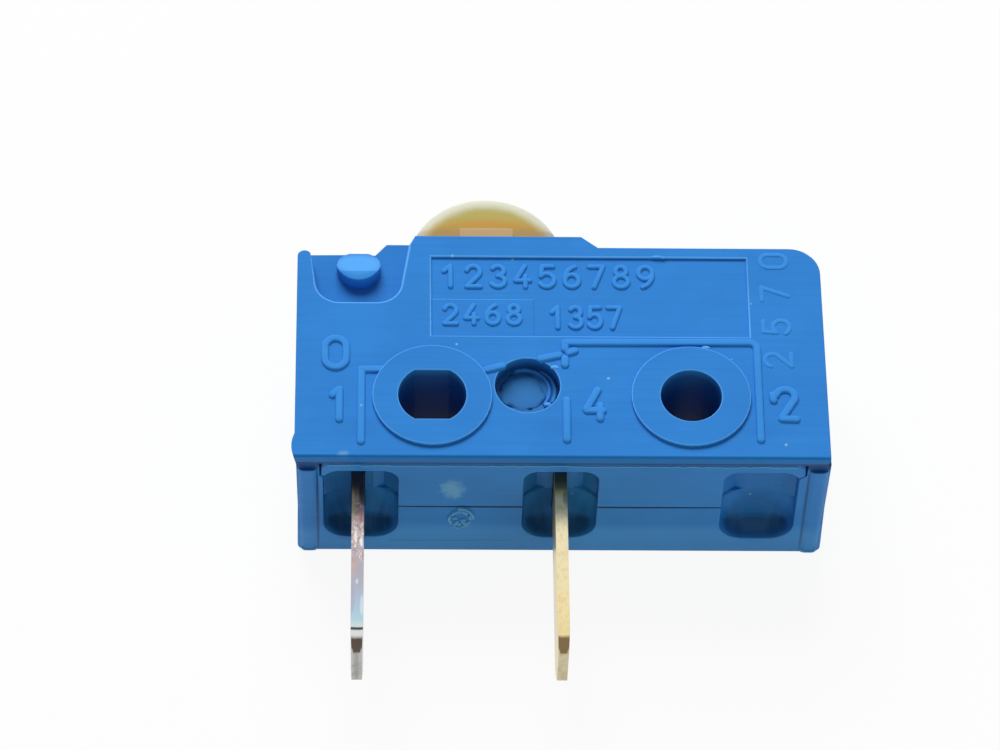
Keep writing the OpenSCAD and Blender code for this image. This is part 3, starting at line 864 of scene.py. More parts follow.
FIGURES: dict[str, list[Stroke]] = {
    "0": [arc((0.3, 0.7), (0.3, 0.3), 180, 0) + arc((0.3, 0.3), (0.3, 0.3), 0, -180) + [(0.0, 0.7)]],
    "1": [[(0.1, 0.74), (0.38, 1.0)], [(0.38, 1.0), (0.38, 0.0)]],
    "2": [arc((0.3, 0.71), (0.29, 0.29), 165, -38), [(0.53, 0.53), (0.02, 0.0)], [(0.02, 0.0), (0.6, 0.0)]],
    "3": [arc((0.3, 0.76), (0.26, 0.24), 150, -90), arc((0.3, 0.26), (0.3, 0.26), 90, -150)],
    "4": [[(0.4, 1.0), (0.0, 0.3)], [(0.0, 0.3), (0.6, 0.3)], [(0.42, 0.52), (0.42, 0.0)]],
    "5": [[(0.55, 1.0), (0.08, 1.0)], [(0.08, 1.0), (0.04, 0.52)],
          arc((0.28, 0.32), (0.32, 0.32), 138, -150)],
    "6": [arc((0.3, 0.3), (0.3, 0.3), 0, 360), arc((0.62, 0.36), (0.62, 0.66), 108, 180)],
    "7": [[(0.0, 1.0), (0.6, 1.0)], [(0.6, 1.0), (0.2, 0.0)]],
    "8": [arc((0.3, 0.77), (0.23, 0.23), 0, 360), arc((0.3, 0.27), (0.3, 0.27), 0, 360)],
    "9": [arc((0.3, 0.7), (0.3, 0.3), 0, 360), arc((-0.02, 0.64), (0.62, 0.66), 0, -72)],
}


def wavy_line(seed: int, start: float, pitch: float, height: float, wave: float, count: int) -> Stroke:
    """Draws a level line that wanders a little up and down.

    Args:
        seed: Start of its random numbers.
        start: Place of its first point.
        pitch: Distance from one point to the next.
        height: Its middle height.
        wave: How far a point lies above or below that at most.
        count: Number of points.

    Returns:
        Points along it.
    """
    draw = random.Random(seed)
    return [(start + pitch * i, height + draw.uniform(-wave, wave)) for i in range(count)]


def figure_row(digits: str, foot: Point2, height: float, pitch: float, slim: float = 1.0,
               turned: bool = False) -> list[Stroke]:
    """Writes a row of figures.

    Args:
        digits: The figures.
        foot: Lower left end of the first figure's centre lines.
        height: Height of the centre lines.
        pitch: Distance from one figure to the next.
        slim: Share of their full width that the figures get.
        turned: Whether the row runs along Y instead of X.

    Returns:
        The figures' strokes.
    """
    strokes = []
    for number, digit in enumerate(digits):
        for line in FIGURES[digit]:
            flat = [(x * height * slim + number * pitch, y * height) for x, y in line]
            moved = [(-y, x) for x, y in flat] if turned else flat
            strokes.append([(foot[0] + x, foot[1] + y) for x, y in moved])
    return strokes


def add_spline(curve: bpy.types.Curve, places: list[Point3]) -> bpy.types.Spline:
    """Adds a row of straight lines to a curve.

    Args:
        curve: The curve.
        places: Points along the row, in millimetres.

    Returns:
        The new row.
    """
    spline = curve.splines.new("POLY")
    spline.points.add(len(places) - 1)
    for point, place in zip(spline.points, places):
        point.co = (*(value * MM for value in place), 1.0)
    return spline


@dataclass(frozen=True)
class Pen:
    """Cross-section of a raised line: flat on top over a share of its width, with rounded sides."""

    width: float
    height: float
    flat: float = 0.45
    sunk: float = 0.04

    def section(self) -> Object:
        """Draws the cross-section as a closed curve."""
        half = self.width / 2
        level, turn = half * self.flat, half * (1 - self.flat)
        angles = [math.radians(a) for a in SIDE_ANGLES]
        side = [(half, -self.sunk)]
        side += [(level + turn * math.cos(a), self.height * math.sin(a)) for a in angles]
        points = side + [(-x, y) for x, y in reversed(side)]
        curve = bpy.data.curves.new("line_section", "CURVE")
        add_spline(curve, [(x, y, 0.0) for x, y in points]).use_cyclic_u = True
        return new_object("line_section", curve)

    def rounded(self, stroke: Stroke) -> list[tuple[float, float, float]]:
        """Adds round ends to a stroke.

        Args:
            stroke: Its points.

        Returns:
            Points, each with the share of the section that it gets.
        """
        angles = [math.radians(a) for a in END_ANGLES]
        ends = []
        for tip, inner in ((stroke[0], stroke[1]), (stroke[-1], stroke[-2])):
            away = (Vector(tip) - Vector(inner)).normalized() * self.width / 2
            ends.append([(*(Vector(tip) + away * math.sin(a)), math.cos(a)) for a in angles])
        return ends[0] + [(*point, 1.0) for point in stroke] + ends[1][::-1]


@dataclass(frozen=True)
class Drawing:
    """Raised lines drawn with one pen on one face of the housing."""

    name: str
    pen: Pen
    level: float
    strokes: tuple[Stroke, ...]
    face: Face = Face.FRONT
    step: float = 0.002
    levels: int = 3

    def build(self, finish: Material) -> Object:
        """Models the lines; strokes that cross differ a little in height."""
        curve = bpy.data.curves.new(self.name, "CURVE")
        curve.dimensions = "3D"
        curve.twist_mode = "Z_UP"
        section = self.pen.section()
        curve.bevel_mode = "OBJECT"
        curve.bevel_object = section
        curve.use_fill_caps = True
        for number, stroke in enumerate(self.strokes):
            points = self.pen.rounded(stroke)
            lift = self.level + self.step * (number % self.levels)
            spline = add_spline(curve, [(x, y, lift) for x, y, _ in points])
            for point, (_, _, share) in zip(spline.points, points):
                point.radius = share
        piece = new_object(self.name, curve)
        select_only(piece)
        bpy.ops.object.convert(target="MESH")
        with whole_mesh_edit():
            bpy.ops.mesh.remove_doubles(threshold=MERGE)
            bpy.ops.mesh.normals_make_consistent(inside=False)
        bpy.data.objects.remove(section)
        if self.face is Face.UNDERSIDE:
            piece.data.transform(Matrix.Rotation(math.pi / 2, 4, "X"))
        bpy.ops.object.shade_smooth_by_angle(angle=LINE_ANGLE)
        wear(piece, finish)
        return piece


@dataclass(frozen=True)
class Burr:
    """A torn lump of plastic."""

    place: Point3
    size: Point3


def model_burrs(name: str, burrs: Iterable[Burr], finish: Material) -> Object:
    """Models torn lumps as one piece.

    Args:
        name: Name of the piece.
        burrs: The lumps.
        finish: Their finish.

    Returns:
        The piece.
    """
    lumps = []
    for number, burr in enumerate(burrs):
        bpy.ops.object.select_all(action="DESELECT")
        bpy.ops.mesh.primitive_ico_sphere_add(subdivisions=3, radius=MM / 2)
        lump = bpy.context.object
        with whole_mesh_edit():
            bpy.ops.transform.vertex_random(
                offset=0.09 * MM, uniform=0.2, normal=0.6, seed=number + BURR_SEED)
            bpy.ops.mesh.vertices_smooth(factor=0.5, repeat=1)
        lump.data.transform(Matrix.Translation(metres(*burr.place)) @ Matrix.Diagonal((*burr.size, 1.0)))
        lumps.append(lump)
    for lump in lumps:
        lump.select_set(True)
    bpy.context.view_layer.objects.active = lumps[0]
    bpy.ops.object.join()
    piece = bpy.context.object
    piece.name = piece.data.name = name
    bpy.ops.object.shade_smooth()
    wear(piece, finish)
    return piece


def model_plate(name: str, low: Point3, high: Point3, ease: float,
                finishes: Iterable[Material]) -> Object:
    """Models a thin plate with eased upper edges.

    Args:
        name: Name of the piece.
        low: Its lowest corner.
        high: Its highest corner.
        ease: Radius of its upper edges.
        finishes: Finish of its faces, then of the eased edge towards +Y, painted pale as a highlight.

    Returns:
        The piece.
    """
    bpy.ops.object.select_all(action="DESELECT")
    bpy.ops.mesh.primitive_cube_add(size=1.0)
    piece = bpy.context.object
    piece.name = piece.data.name = name
    middle, size = (metres(*high) + metres(*low)) / 2, metres(*high) - metres(*low)
    piece.data.transform(Matrix.Translation(middle) @ Matrix.Diagonal((*size, 1.0)))
    work = bmesh.new()
    work.from_mesh(piece.data)
    for edge in work.edges:
        edge.select_set(all(vert.co.z > middle.z for vert in edge.verts))
    work.select_flush(True)
    work.to_mesh(piece.data)
    work.free()
    bpy.ops.object.mode_set(mode="EDIT")
    bpy.ops.mesh.select_mode(type="EDGE")
    bpy.ops.mesh.bevel(offset=ease * MM, segments=2, affect="EDGES")
    bpy.ops.object.mode_set(mode="OBJECT")
    wear(piece, *finishes)
    # The eased faces that lean towards +Y take the pale finish, a painted highlight.
    for polygon in piece.data.polygons:
        leans = min(polygon.normal.y, polygon.normal.z) > PLATE_LEAN
        polygon.material_index = Tone.EDGE.value if leans else Tone.BODY.value
    return piece


@dataclass
class Housing:
    """The two moulded halves of the housing, with what their mould leaves on them."""

    body_edge: float = 0.06
    fine_edge: float = 0.04
    stud_edge: float = 0.05
    notch_edge: float = 0.09
    front: float = 6.4
    ring_top: float = 6.55
    field: float = 6.28
    recess: float = 5.65
    notch_floor: float = 5.8
    underside: float = 2.55
    sill: float = 2.61
    nose_end: float = -1.6
    lip_taper: float = 0.08
    parting: float = 2.9
    tongue_gap: float = 0.06
    seam: float = 0.01
    tabs: Point3 = (-12.1, -4.75, 2.6)
    rails: Point2 = (-14.03, 4.66)
    pocket_half: float = 1.375
    pocket_back: float = 0.9
    pocket_round: float = 0.62
    pocket_soft: float = 0.9
    pocket_low: float = -2.7
    pocket_roof: float = -1.6
    arch_radius: float = 2.075
    gate: Point2 = (-6.0, 0.52)
    gate_reach: float = 1.4
    gate_pad: Point2 = (-6.15, 0.7)
    pad_size: Point3 = (1.75, 1.75, 0.13)
    pad_sunk: float = 0.01
    panel: tuple[Point2, Point2] = ((-9.52, 2.75), (-5.71, 4.45))
    panel_rise: float = 0.03
    panel_ease: float = 0.03
    panel_marks: float = 0.02
    outline: float = 0.3
    level_slack: float = 0.05
    finger: Point2 = (0.9, 5.9)
    notch_right: float = -10.2
    notch_ends: Point2 = (4.0, 6.7)
    lip_edge: float = 0.15
    mouth: Point2 = (0.12, 0.7)
    scar: Point2 = (-8.43, 2.15)
    scar_lift: float = 0.02
    rail_lift: float = 0.06
    wide_pen: Pen = Pen(0.31, 0.1)
    number_pen: Pen = Pen(0.3, 0.1)
    field_pen: Pen = Pen(0.21, 0.085, 0.3)
    faint_pen: Pen = Pen(0.18, 0.03, 0.3)
    flash_pen: Pen = Pen(0.07, 0.045, 0.3)
    torn_pen: Pen = Pen(0.13, 0.08, 0.3)
    ridge_pen: Pen = Pen(0.14, 0.09, 0.3)
    hair_pen: Pen = Pen(0.05, 0.025, 0.3)
    rail_pen: Pen = Pen(0.06, 0.035, 0.3)
    plastic: MouldedPlastic = MouldedPlastic(
        "blue_plastic", srgb("#3486d8"), srgb("#2f7ccb"), srgb("#a4cbe0"),
        patches=(
            # Pale blooms on the underside and on the lip.
            Patch((-8.73, -2.55, 4.05), (0.75, 0.8, 0.95), "#93c8ea", 0.5, 0.9),
            Patch((-12.74, -2.6, 6.35), (0.4, 0.4, 0.3), "#9fd0dc", 0.3, 0.9),
            # Painted shade on the lip's face, a painted shadow under its lower edge, and the parting line.
            Patch((-4.75, -2.65, 6.05), (40.0, 0.12, 0.5), "#0a70c0", 0.8),
            Patch((-4.75, -2.62, 5.85), (40.0, 0.09, 0.18), "#063a74", 0.9),
            Patch((-4.75, -2.55, 2.9), (7.2, 0.12, 0.075), "#0a2c52", 0.75),
            # Painted light on the underside, towards its rear edge.
            Patch((-4.75, -2.6, 0.0), (40.0, 0.3, 1.7), "#6cb8ff", 0.3),
            # Painted light on the recess's floor, which takes back part of the painted shade of its well.
            Patch((-6.1, 0.45, 5.6), (1.6, 1.6, 0.3), "#4797e0", 0.5, 0.35),
            # Painted shadow on the rails' tops under the lip, and painted shade down the rails' inner sides.
            *(Patch((x, -2.64, 5.7), (0.75, 0.3, 0.3), "#0a3470", 0.88) for x in RAIL_TOPS),
            *(Patch((x, -2.57, 2.6), (0.06, 0.1, 3.2), "#123f6e", 0.55) for x in RAIL_FEET),
            # Painted shade in the pockets, from front to back.
            *(Patch((x, -1.4, 4.2), (2.0, 0.9, 2.2), "#153a58", 0.2) for x in POCKETS),
            *(Patch((x, -1.4, 0.5), (1.95, 1.0, 2.2), "#1b222a", 0.3) for x in POCKETS),
            *(Patch((x, -2.1, 0.95), (1.7, 0.5, 0.5), "#0a1622", 0.5) for x in POCKETS),
            # A painted highlight on the stud's ramp.
            Patch((-12.24, 6.5, 6.3), (1.05, 1.1, 0.4), "#58aef8", 0.6)),
        # Painted shade, darker with depth, in the two holes, the gate recess and the lever notch.
        wells=(
            Well((-10.9, -1.3), (-8.1, 1.3), 6.5, 0.45, 0.58, "#18356a"),
            Well((-1.3, -1.3), (1.3, 1.3), 6.5, 0.45, 0.58, "#18356a"),
            Well((-7.3, -0.8), (-4.7, 1.8), 6.35, 0.5, 0.66, "#141c30"),
            Well((-14.2, 4.0), (-10.2, 7.2), 6.2, 0.35, 0.1)))
    # The raised marks' plastic, painted lighter than the body as painted light on their tops.
    lit_mark_plastic: MouldedPlastic = MouldedPlastic(
        "blue_plastic_marks_lit", srgb("#3d91e2"), srgb("#388bdc"), srgb("#a4cbe0"), 0.38)
    # Pale plastic: a painted highlight on eased edges, and the finish of the cover's burrs.
    highlight_and_burr_plastic: MouldedPlastic = MouldedPlastic(
        "blue_plastic_highlight_and_burr", srgb("#5caaf3"), srgb("#55a2ed"), srgb("#a9d2f5"), 0.36)
    # Pale plastic for the flash, the gate scar, the sill line and the rail ends; on the flash, sill line and
    # rail ends its paleness is a painted highlight.
    flash_and_highlight_plastic: MouldedPlastic = MouldedPlastic(
        "blue_plastic_flash_and_highlight", srgb("#68a8e0"), srgb("#5c9cd6"), srgb("#bcdcf0"), 0.36)

    def build(self) -> list[Object]:
        """Builds both halves with eased edges, and the marks on them."""
        # The three paler finishes carry painted light: on the raised marks, as a highlight on the pale eased
        # edges and the field panel's edge, and as a highlight on the flash, sill line and rail ends. The
        # burrs and the gate scar take them too.
        body, mark, edge, flash = (finish.material() for finish in (
            self.plastic, self.lit_mark_plastic, self.highlight_and_burr_plastic, self.flash_and_highlight_plastic))
        cover, base = self.ease_cover(body, edge), self.ease_base(body, edge)
        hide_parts("cover")
        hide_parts("base")
        drawings = self.front_drawings()
        on_cover = [cover, *(drawing.build(mark) for drawing in drawings)]
        on_cover.append(model_plate(
            "field_panel", (*self.panel[0], self.field - self.panel_rise),
            (*self.panel[1], self.field + self.panel_rise), self.panel_ease, (body, edge)))
        on_cover.append(self.flash_line().build(flash))
        on_cover.append(model_burrs("cover_burrs", self.cover_burrs(), edge))
        pad = Burr((*self.gate_pad, self.recess - self.pad_sunk), self.pad_size)
        on_cover.append(model_burrs("recess_pad", [pad], body))
        on_base = [base, self.gate_scar().build(flash), self.sill_line().build(flash),
                   self.rail_ends().build(flash)]
        for pieces, slot in ((on_cover, "cover"), (on_base, "base")):
            for piece in pieces:
                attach(piece, Body.HOUSING.value)
        return on_cover + on_base

    def ease_cover(self, body: Material, edge: Material) -> Object:
        """Eases the cover's front edges, the mouths in its tongue and the tongue's lower edge."""
        low, high = (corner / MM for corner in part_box("cover"))
        base_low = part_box("base")[0] / MM
        outline, below_field, top_rim = self.outline, 0.1, 0.7
        lip_height, lip_stays = 0.3, 0.1
        touch = 0.004
        near_front = self.front - self.level_slack
        tongue_ends = ((1, self.tabs[0] - self.pocket_half), (-1, self.tabs[-1] + self.pocket_half))

        def pale(p: Vector) -> bool:
            """Tells whether an eased edge is one of those painted pale as a highlight."""
            return (p.z > self.field - below_field and low.x + outline < p.x < high.x - outline
                    and low.y + outline < p.y < high.y - top_rim)

        def in_notch(p: Vector) -> bool:
            """Tells whether a point lies on the rim of the lever notch."""
            return (p.z > near_front and low.x + outline < p.x < self.notch_right
                    and self.notch_ends[0] < p.y < self.notch_ends[1])

        def seated(p: Vector) -> Vector:
            """Tapers the lip's ends, and brings the tongue's free sides up to the base."""
            if self.notch_floor - touch < p.z < self.front - lip_height and p.y < self.nose_end:
                p.x = base_low.x + lip_stays * (p.x - base_low.x) if p.x < base_low.x else p.x
                p.x = p.x - self.lip_taper if p.x > high.x - touch else p.x
            if p.z < self.notch_floor:
                p.z = self.parting + self.seam if abs(p.z - self.parting - self.tongue_gap) < touch else p.z
                for side, end in tongue_ends:
                    p.x = end + side * self.seam if abs(p.x - end - side * self.tongue_gap) < touch else p.x
            return p

        return eased_copy("cover", "cover_shell", [
            EdgeRule(self.fine_edge, lambda p: p.z > self.front + self.level_slack),
            EdgeRule(0.0, lambda p: p.x < low.x + self.finger[0] and p.y > self.finger[1]),
            EdgeRule(self.fine_edge, lambda p: math.dist(p.xy, self.gate) < self.gate_reach),
            EdgeRule(self.notch_edge, in_notch),
            EdgeRule(self.body_edge, lambda p: p.z > near_front and p.y > low.y + self.lip_edge),
            EdgeRule(self.fine_edge,
                     lambda p: p.y < low.y + self.mouth[0] and p.z < self.front - self.mouth[1]),
        ], (body, edge), pale, seated)

    def ease_base(self, body: Material, edge: Material) -> Object:
        """Eases the base's outer edges and its stud, and leaves its inside as it is."""
        low, high = (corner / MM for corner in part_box("base"))
        skin, shoulder, stud_foot, stud_ramp = 0.05, 0.6, 0.03, 6.3
        rail_width, rail_depth, rail_height = 0.9, 0.3, 0.12

        def outside(p: Vector) -> bool:
            """Tells whether a point lies on the base's outer faces."""
            return p.x < low.x + skin or p.x > high.x - skin or p.z < skin or p.y > high.y - shoulder

        def rail_foot(p: Vector) -> bool:
            """Tells whether an eased edge is one of those at the rails' rear ends painted pale as a
            highlight.
            """
            inner = low.x + rail_width < p.x < high.x - rail_width
            return p.z < rail_height and p.y < low.y + rail_depth and not inner

        def on_stud(p: Vector) -> bool:
            """Tells whether a point lies on the lever stud."""
            return p.z > self.notch_floor + stud_foot

        return eased_copy("base", "base_shell", [
            EdgeRule(self.stud_edge, lambda p: on_stud(p) and p.y < stud_ramp),
            EdgeRule(0.0, on_stud),
            EdgeRule(self.fine_edge, outside),
            EdgeRule(self.fine_edge, lambda p: p.y < low.y + self.lip_edge),
        ], (body, edge), rail_foot, self.softer_pocket, self.pocket_end)

    def pocket_end(self, p: Vector) -> bool:
        """Tells whether a point lies on the rim of a pocket's deep end."""
        near, rim, foot = 0.01, 0.02, 0.3
        off = min(abs(p.x - tab) for tab in self.tabs)
        if off > self.pocket_half + near or not self.pocket_back - near < p.z < self.parting + rim:
            return False
        at_back = p.z < self.pocket_back + foot
        return abs(p.y - self.arch(off)) < rim and (at_back or off > self.pocket_half / 2)

    def softer_pocket(self, p: Vector) -> Vector:
        """Moves a point of a pocket's lower round corners out to their softer radius.

        The flat wall between the corners gets narrower with them.

        Args:
            p: A point of the base.

        Returns:
            The same point, or its place in the softer pocket.
        """
        near = 0.01
        tab = min(self.tabs, key=lambda x: abs(x - p.x))
        off = abs(p.x - tab)
        flat, soft_flat = self.pocket_half - self.pocket_round, self.pocket_half - self.pocket_soft
        turn = Vector((off - flat, p.z - self.pocket_back - self.pocket_round))
        if not self.pocket_low < p.y < self.pocket_roof + near:
            return p
        if abs(turn.length - self.pocket_round) < near and turn.x > -near and turn.y < near:
            turn *= self.pocket_soft / self.pocket_round
            wide, height = soft_flat + turn.x, self.pocket_back + self.pocket_soft + turn.y
        elif off < flat and abs(p.z - self.pocket_back) < near:
            wide, height = off * soft_flat / flat, p.z
        else:
            return p
        rise = self.arch(wide) - self.arch(off) if abs(p.y - self.arch(off)) < near else 0.0
        return Vector((tab + math.copysign(wide, p.x - tab), p.y + rise, height))

    def arch(self, off: float) -> float:
        """Gives the height of a pocket's arched roof at a distance from its middle."""
        return self.pocket_roof - self.arch_radius + math.sqrt(self.arch_radius ** 2 - off ** 2)

    def front_drawings(self) -> list[Drawing]:
        """Gives the raised circuit lines and figures of the cover's front."""
        down = [(-4.6, 2.41), (2.2, 2.45), *arc((2.22, 2.17), (0.28, 0.28), 90, 0), (2.49, -1.85)]
        circuit = (
            [(-12.1, 1.165), (-12.1, -2.0)], [(-12.1, 1.165), (-11.3, 1.17)], down,
            [(-7.5, 1.18), (-6.92, 1.35)], [(-5.5, 1.67), (-4.82, 1.845)], [(-4.45, 1.965), (-4.24, 2.05)],
            [(-4.6, 2.41), (-4.6, 2.12)], [(-4.605, 1.7), (-4.61, 1.42)], [(-4.575, -0.16), (-4.59, -1.89)])
        numbers = (
            [(-12.9, 0.26), (-12.9, -1.04)], [(-13.15, 0.02), (-12.92, 0.26)],
            [(-3.43, 0.29), (-3.86, -0.58)], [(-3.84, -0.61), (-3.25, -0.61)],
            [(-3.35, -0.38), (-3.365, -0.96)], arc((3.46, 0.02), (0.35, 0.35), 165, -38),
            [(3.73, -0.19), (3.3, -0.9)], [(3.3, -0.93), (3.83, -0.95)],
            [(3.0, 0.12), (3.02, -0.12)], *figure_row("0", (-13.45, 1.25), 1.3, 1.0))
        rows = (*figure_row("123456789", (-9.14, 5.02), 0.94, 0.919, 0.92),
                *figure_row("1357", (-5.12, 3.17), 0.92, 0.72, 0.8))
        panel = tuple(figure_row("2468", (-9.05, 3.31), 0.84, 0.787, 0.9))
        faint = tuple(figure_row("2570", (3.76, 1.4), 0.98, 1.5, turned=True))
        crescents = (arc((-6.1, 0.75), (0.94, 0.94), -38, 108), arc((-6.05, 0.72), (1.09, 1.09), -25, 58))
        return [
            Drawing("circuit_lines", self.wide_pen, self.front, circuit),
            Drawing("tab_numbers", self.number_pen, self.front, numbers),
            Drawing("field_numbers", self.field_pen, self.field, rows),
            Drawing("panel_numbers", self.field_pen, self.field + self.panel_marks, panel),
            Drawing("margin_numbers", self.faint_pen, self.front, faint),
            Drawing("recess_ridges", self.ridge_pen, self.recess, crescents),
        ]

    def flash_line(self) -> Drawing:
        """Gives the wavy flash under the cover's lip; its pale finish is a painted highlight."""
        points = wavy_line(seed=5, start=-13.3, pitch=0.22, height=5.67, wave=0.03, count=79)
        return Drawing("lip_flash", self.flash_pen, self.underside, (points,), Face.UNDERSIDE)

    def gate_scar(self) -> Drawing:
        """Gives the torn ring that a moulding gate leaves on the underside."""
        draw = random.Random(9)
        middle = Vector(self.scar)
        pieces, spacing, stray, radii = 9, 40, 8, (0.42, 0.58)
        crumbs, spread, half = 8, (0.25, 0.36), 0.06
        ring = [arc(middle, (0.5, 0.67), 5, 95)]
        for number in range(pieces):
            turn = number * spacing + draw.uniform(-stray, stray)
            size = draw.uniform(0.85, 1.05)
            ring.append(arc(middle, (radii[0] * size, radii[1] * size), turn, turn + draw.uniform(18, 32)))
        for _ in range(crumbs):
            place = middle + Vector([draw.uniform(-far, far) for far in spread])
            turn = draw.uniform(0.0, math.pi)
            reach = Vector((math.cos(turn), math.sin(turn))) * half
            ring.append([tuple(place - reach), tuple(place + reach)])
        level = self.underside + self.scar_lift
        return Drawing("gate_scar", self.torn_pen, level, tuple(ring), Face.UNDERSIDE)

    def sill_line(self) -> Drawing:
        """Gives the hairline that two halves of the mould leave along the sill; its pale finish is a painted
        highlight.
        """
        points = wavy_line(seed=2, start=-11.0, pitch=0.4, height=0.64, wave=0.01, count=12)
        return Drawing("sill_line", self.hair_pen, self.sill, (points,), Face.UNDERSIDE)

    def rail_ends(self) -> Drawing:
        """Gives the pale hairlines round the rear ends of the rails, whose paleness is a painted highlight.
        """
        half = [(-0.24, 0.24), (-0.17, 0.14), (0.0, 0.1), (0.17, 0.14), (0.24, 0.24)]
        strokes = tuple([(rail + x, z) for x, z in half] for rail in self.rails)
        return Drawing("rail_ends", self.rail_pen, self.sill + self.rail_lift, strokes, Face.UNDERSIDE)

    def cover_burrs(self) -> list[Burr]:
        """Gives the torn lumps on the cover's edges and in its recess."""
        return [
            Burr((0.61, 2.17, self.ring_top - 0.065), (0.34, 0.16, 0.1)),
            Burr((-1.07, 6.37, self.front - 0.02), (0.5, 0.12, 0.09)),
            Burr((-0.85, 6.34, self.front - 0.02), (0.2, 0.1, 0.08)),
            Burr((-4.98, 1.33, self.front - 0.03), (0.34, 0.2, 0.12)),
            Burr((1.55, 1.63, self.ring_top - 0.05), (0.09, 0.09, 0.07)),
            Burr((-5.25, 0.1, self.recess + 0.05), (0.3, 0.25, 0.2)),
        ]


@dataclass
class Plunger:
    """The rounded cream plunger."""

    finish: MilkyNylon = MilkyNylon(
        "cream_nylon", crown=(-7.45, 7.15), radius=2.95, glow=(-7.4, 7.9, 5.3), glow_radius=(2.7, 1.0, 1.5),
        rib_front=5.7)

    def build(self) -> list[Object]:
        """Dresses the plunger's solid."""
        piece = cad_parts["plunger"]
        wear(piece, self.finish.material())
        return [piece]


@dataclass
class Blades:
    """The two blade tabs."""

    silver: BareMetal = BareMetal(
        "tarnished_silver",
        # Tarnish bands, with painted shade darkening the root inside the pocket and the end chamfer at the
        # tip.
        ((-2.3, "#3c3b40"), (-2.6, "#4f4644"), (-2.85, "#94786a"), (-3.2, "#d4b4a4"), (-4.4, "#d0bcc2"),
         (-5.2, "#c0b4bc"), (-6.2, "#b4b1bd"), (-6.9, "#b4b8c6"), (-7.6, "#aec7da"), (-8.3, "#b4d3df"),
         (-8.6, "#d3dfdc"), (-8.64, "#4b494b"), (-8.71, "#4b494b"), (-8.76, "#d5dedb"), (-8.96, "#dcdcd8"),
         (-9.06, "#5a4e48"), (-9.4, "#5e544c"), (-9.45, "#b8b8b4")),
        0.3, 0.01,
        flecks=(Fleck("#a9837c", 0.5, (-3.0, -6.0), (7.0, 4.0, 7.0), (0.46, 0.62)),
                Fleck("#fff8ea", 0.7, (-3.1, -5.9), (15.0, 9.0, 15.0), (0.54, 0.66))),
        patches=(
            Patch((-12.39, -3.4, 4.3), (0.16, 1.0, 0.6), "#ecc88e", 0.75, 0.7),
            # Painted shade beside the root, on the right.
            Patch((-12.03, -2.9, 4.3), (0.2, 0.65, 0.6), "#2c2830", 0.8, 0.5),
            Patch((-12.1, -3.85, 4.3), (0.17, 0.6, 0.6), "#d48c92", 0.6, 0.8),
            Patch((-12.06, -4.95, 4.3), (0.1, 0.5, 0.6), "#fbfbff", 0.85, 0.9),
            Patch((-12.27, -4.75, 4.3), (0.1, 0.6, 0.6), "#fff7e2", 0.8, 1.0),
            Patch((-12.32, -6.0, 4.3), (0.26, 0.75, 0.6), "#dfb496", 0.36, 0.9),
            *(Patch((x, -9.44, 4.0), (0.09, 0.16, 0.6), "#b8b8b4", 0.9) for x in (-12.41, -11.99)),
            Patch((-12.21, -9.46, 3.0), (0.09, 0.06, 1.3), "#8a8a86", 0.5),
            Patch((-12.21, -6.68, 4.3), (0.05, 0.12, 0.6), "#f2f4fa", 0.5),
            Patch((-12.43, -7.4, 4.3), (0.15, 0.7, 0.6), "#b4b0c2", 0.7),
            Patch((-12.02, -7.7, 4.3), (0.1, 0.6, 0.6), "#dbe7ef", 0.7, 0.5)),
        # The wide sides: tarnish, darker towards the root as painted shade.
        side_bands=((-2.3, "#77706c"), (-3.2, "#a0938b"), (-5.0, "#b9b2b2"), (-9.4, "#c4c4c2")),
        middle=-12.2, dull_ends=(-3.4, -5.2))
    brass: BareMetal = BareMetal(
        "rolled_brass",
        # Brass bands, with painted shade darkening the root inside the pocket and the end chamfer at the tip.
        ((-2.3, "#4a4e44"), (-2.6, "#857f5c"), (-2.85, "#e0d29a"), (-3.1, "#fff4cc"), (-4.4, "#fff2ca"),
         (-5.5, "#f3e6bc"), (-8.0, "#f0dfac"), (-8.9, "#ead7a2"), (-9.0, "#806c4a"), (-9.4, "#806c4a"),
         (-9.45, "#cbc19f")),
        0.34, 0.01,
        flecks=(Fleck("#d0ab62", 0.3, (-3.2, -8.9), (8.0, 5.0, 8.0), (0.42, 0.72)),),
        patches=(
            Patch((-4.58, -3.05, 4.3), (0.17, 0.8, 0.6), "#5f5a46", 0.6, 0.9),
            *(Patch((x, -9.44, 4.0), (0.09, 0.16, 0.6), "#cbc19f", 0.8) for x in (-4.96, -4.54)),
            Patch((-4.87, -7.4, 4.3), (0.2, 0.5, 0.6), "#f2c684", 0.45, 0.9)),
        # The wide sides painted paler as a painted reflection of the white surroundings, and darker towards
        # the root as painted shade.
        side_bands=((-2.3, "#a3945f"), (-3.2, "#d6c48c"), (-5.0, "#e8dab0"), (-9.4, "#ebdfb8")),
        middle=-4.75, dull_ends=(-3.8, -4.6))

    def build(self) -> list[Object]:
        """Dresses both blades."""
        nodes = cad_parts
        wear(nodes["common_tab"], self.silver.material())
        wear(nodes["make_tab"], self.brass.material())
        return [nodes["common_tab"], nodes["make_tab"]]


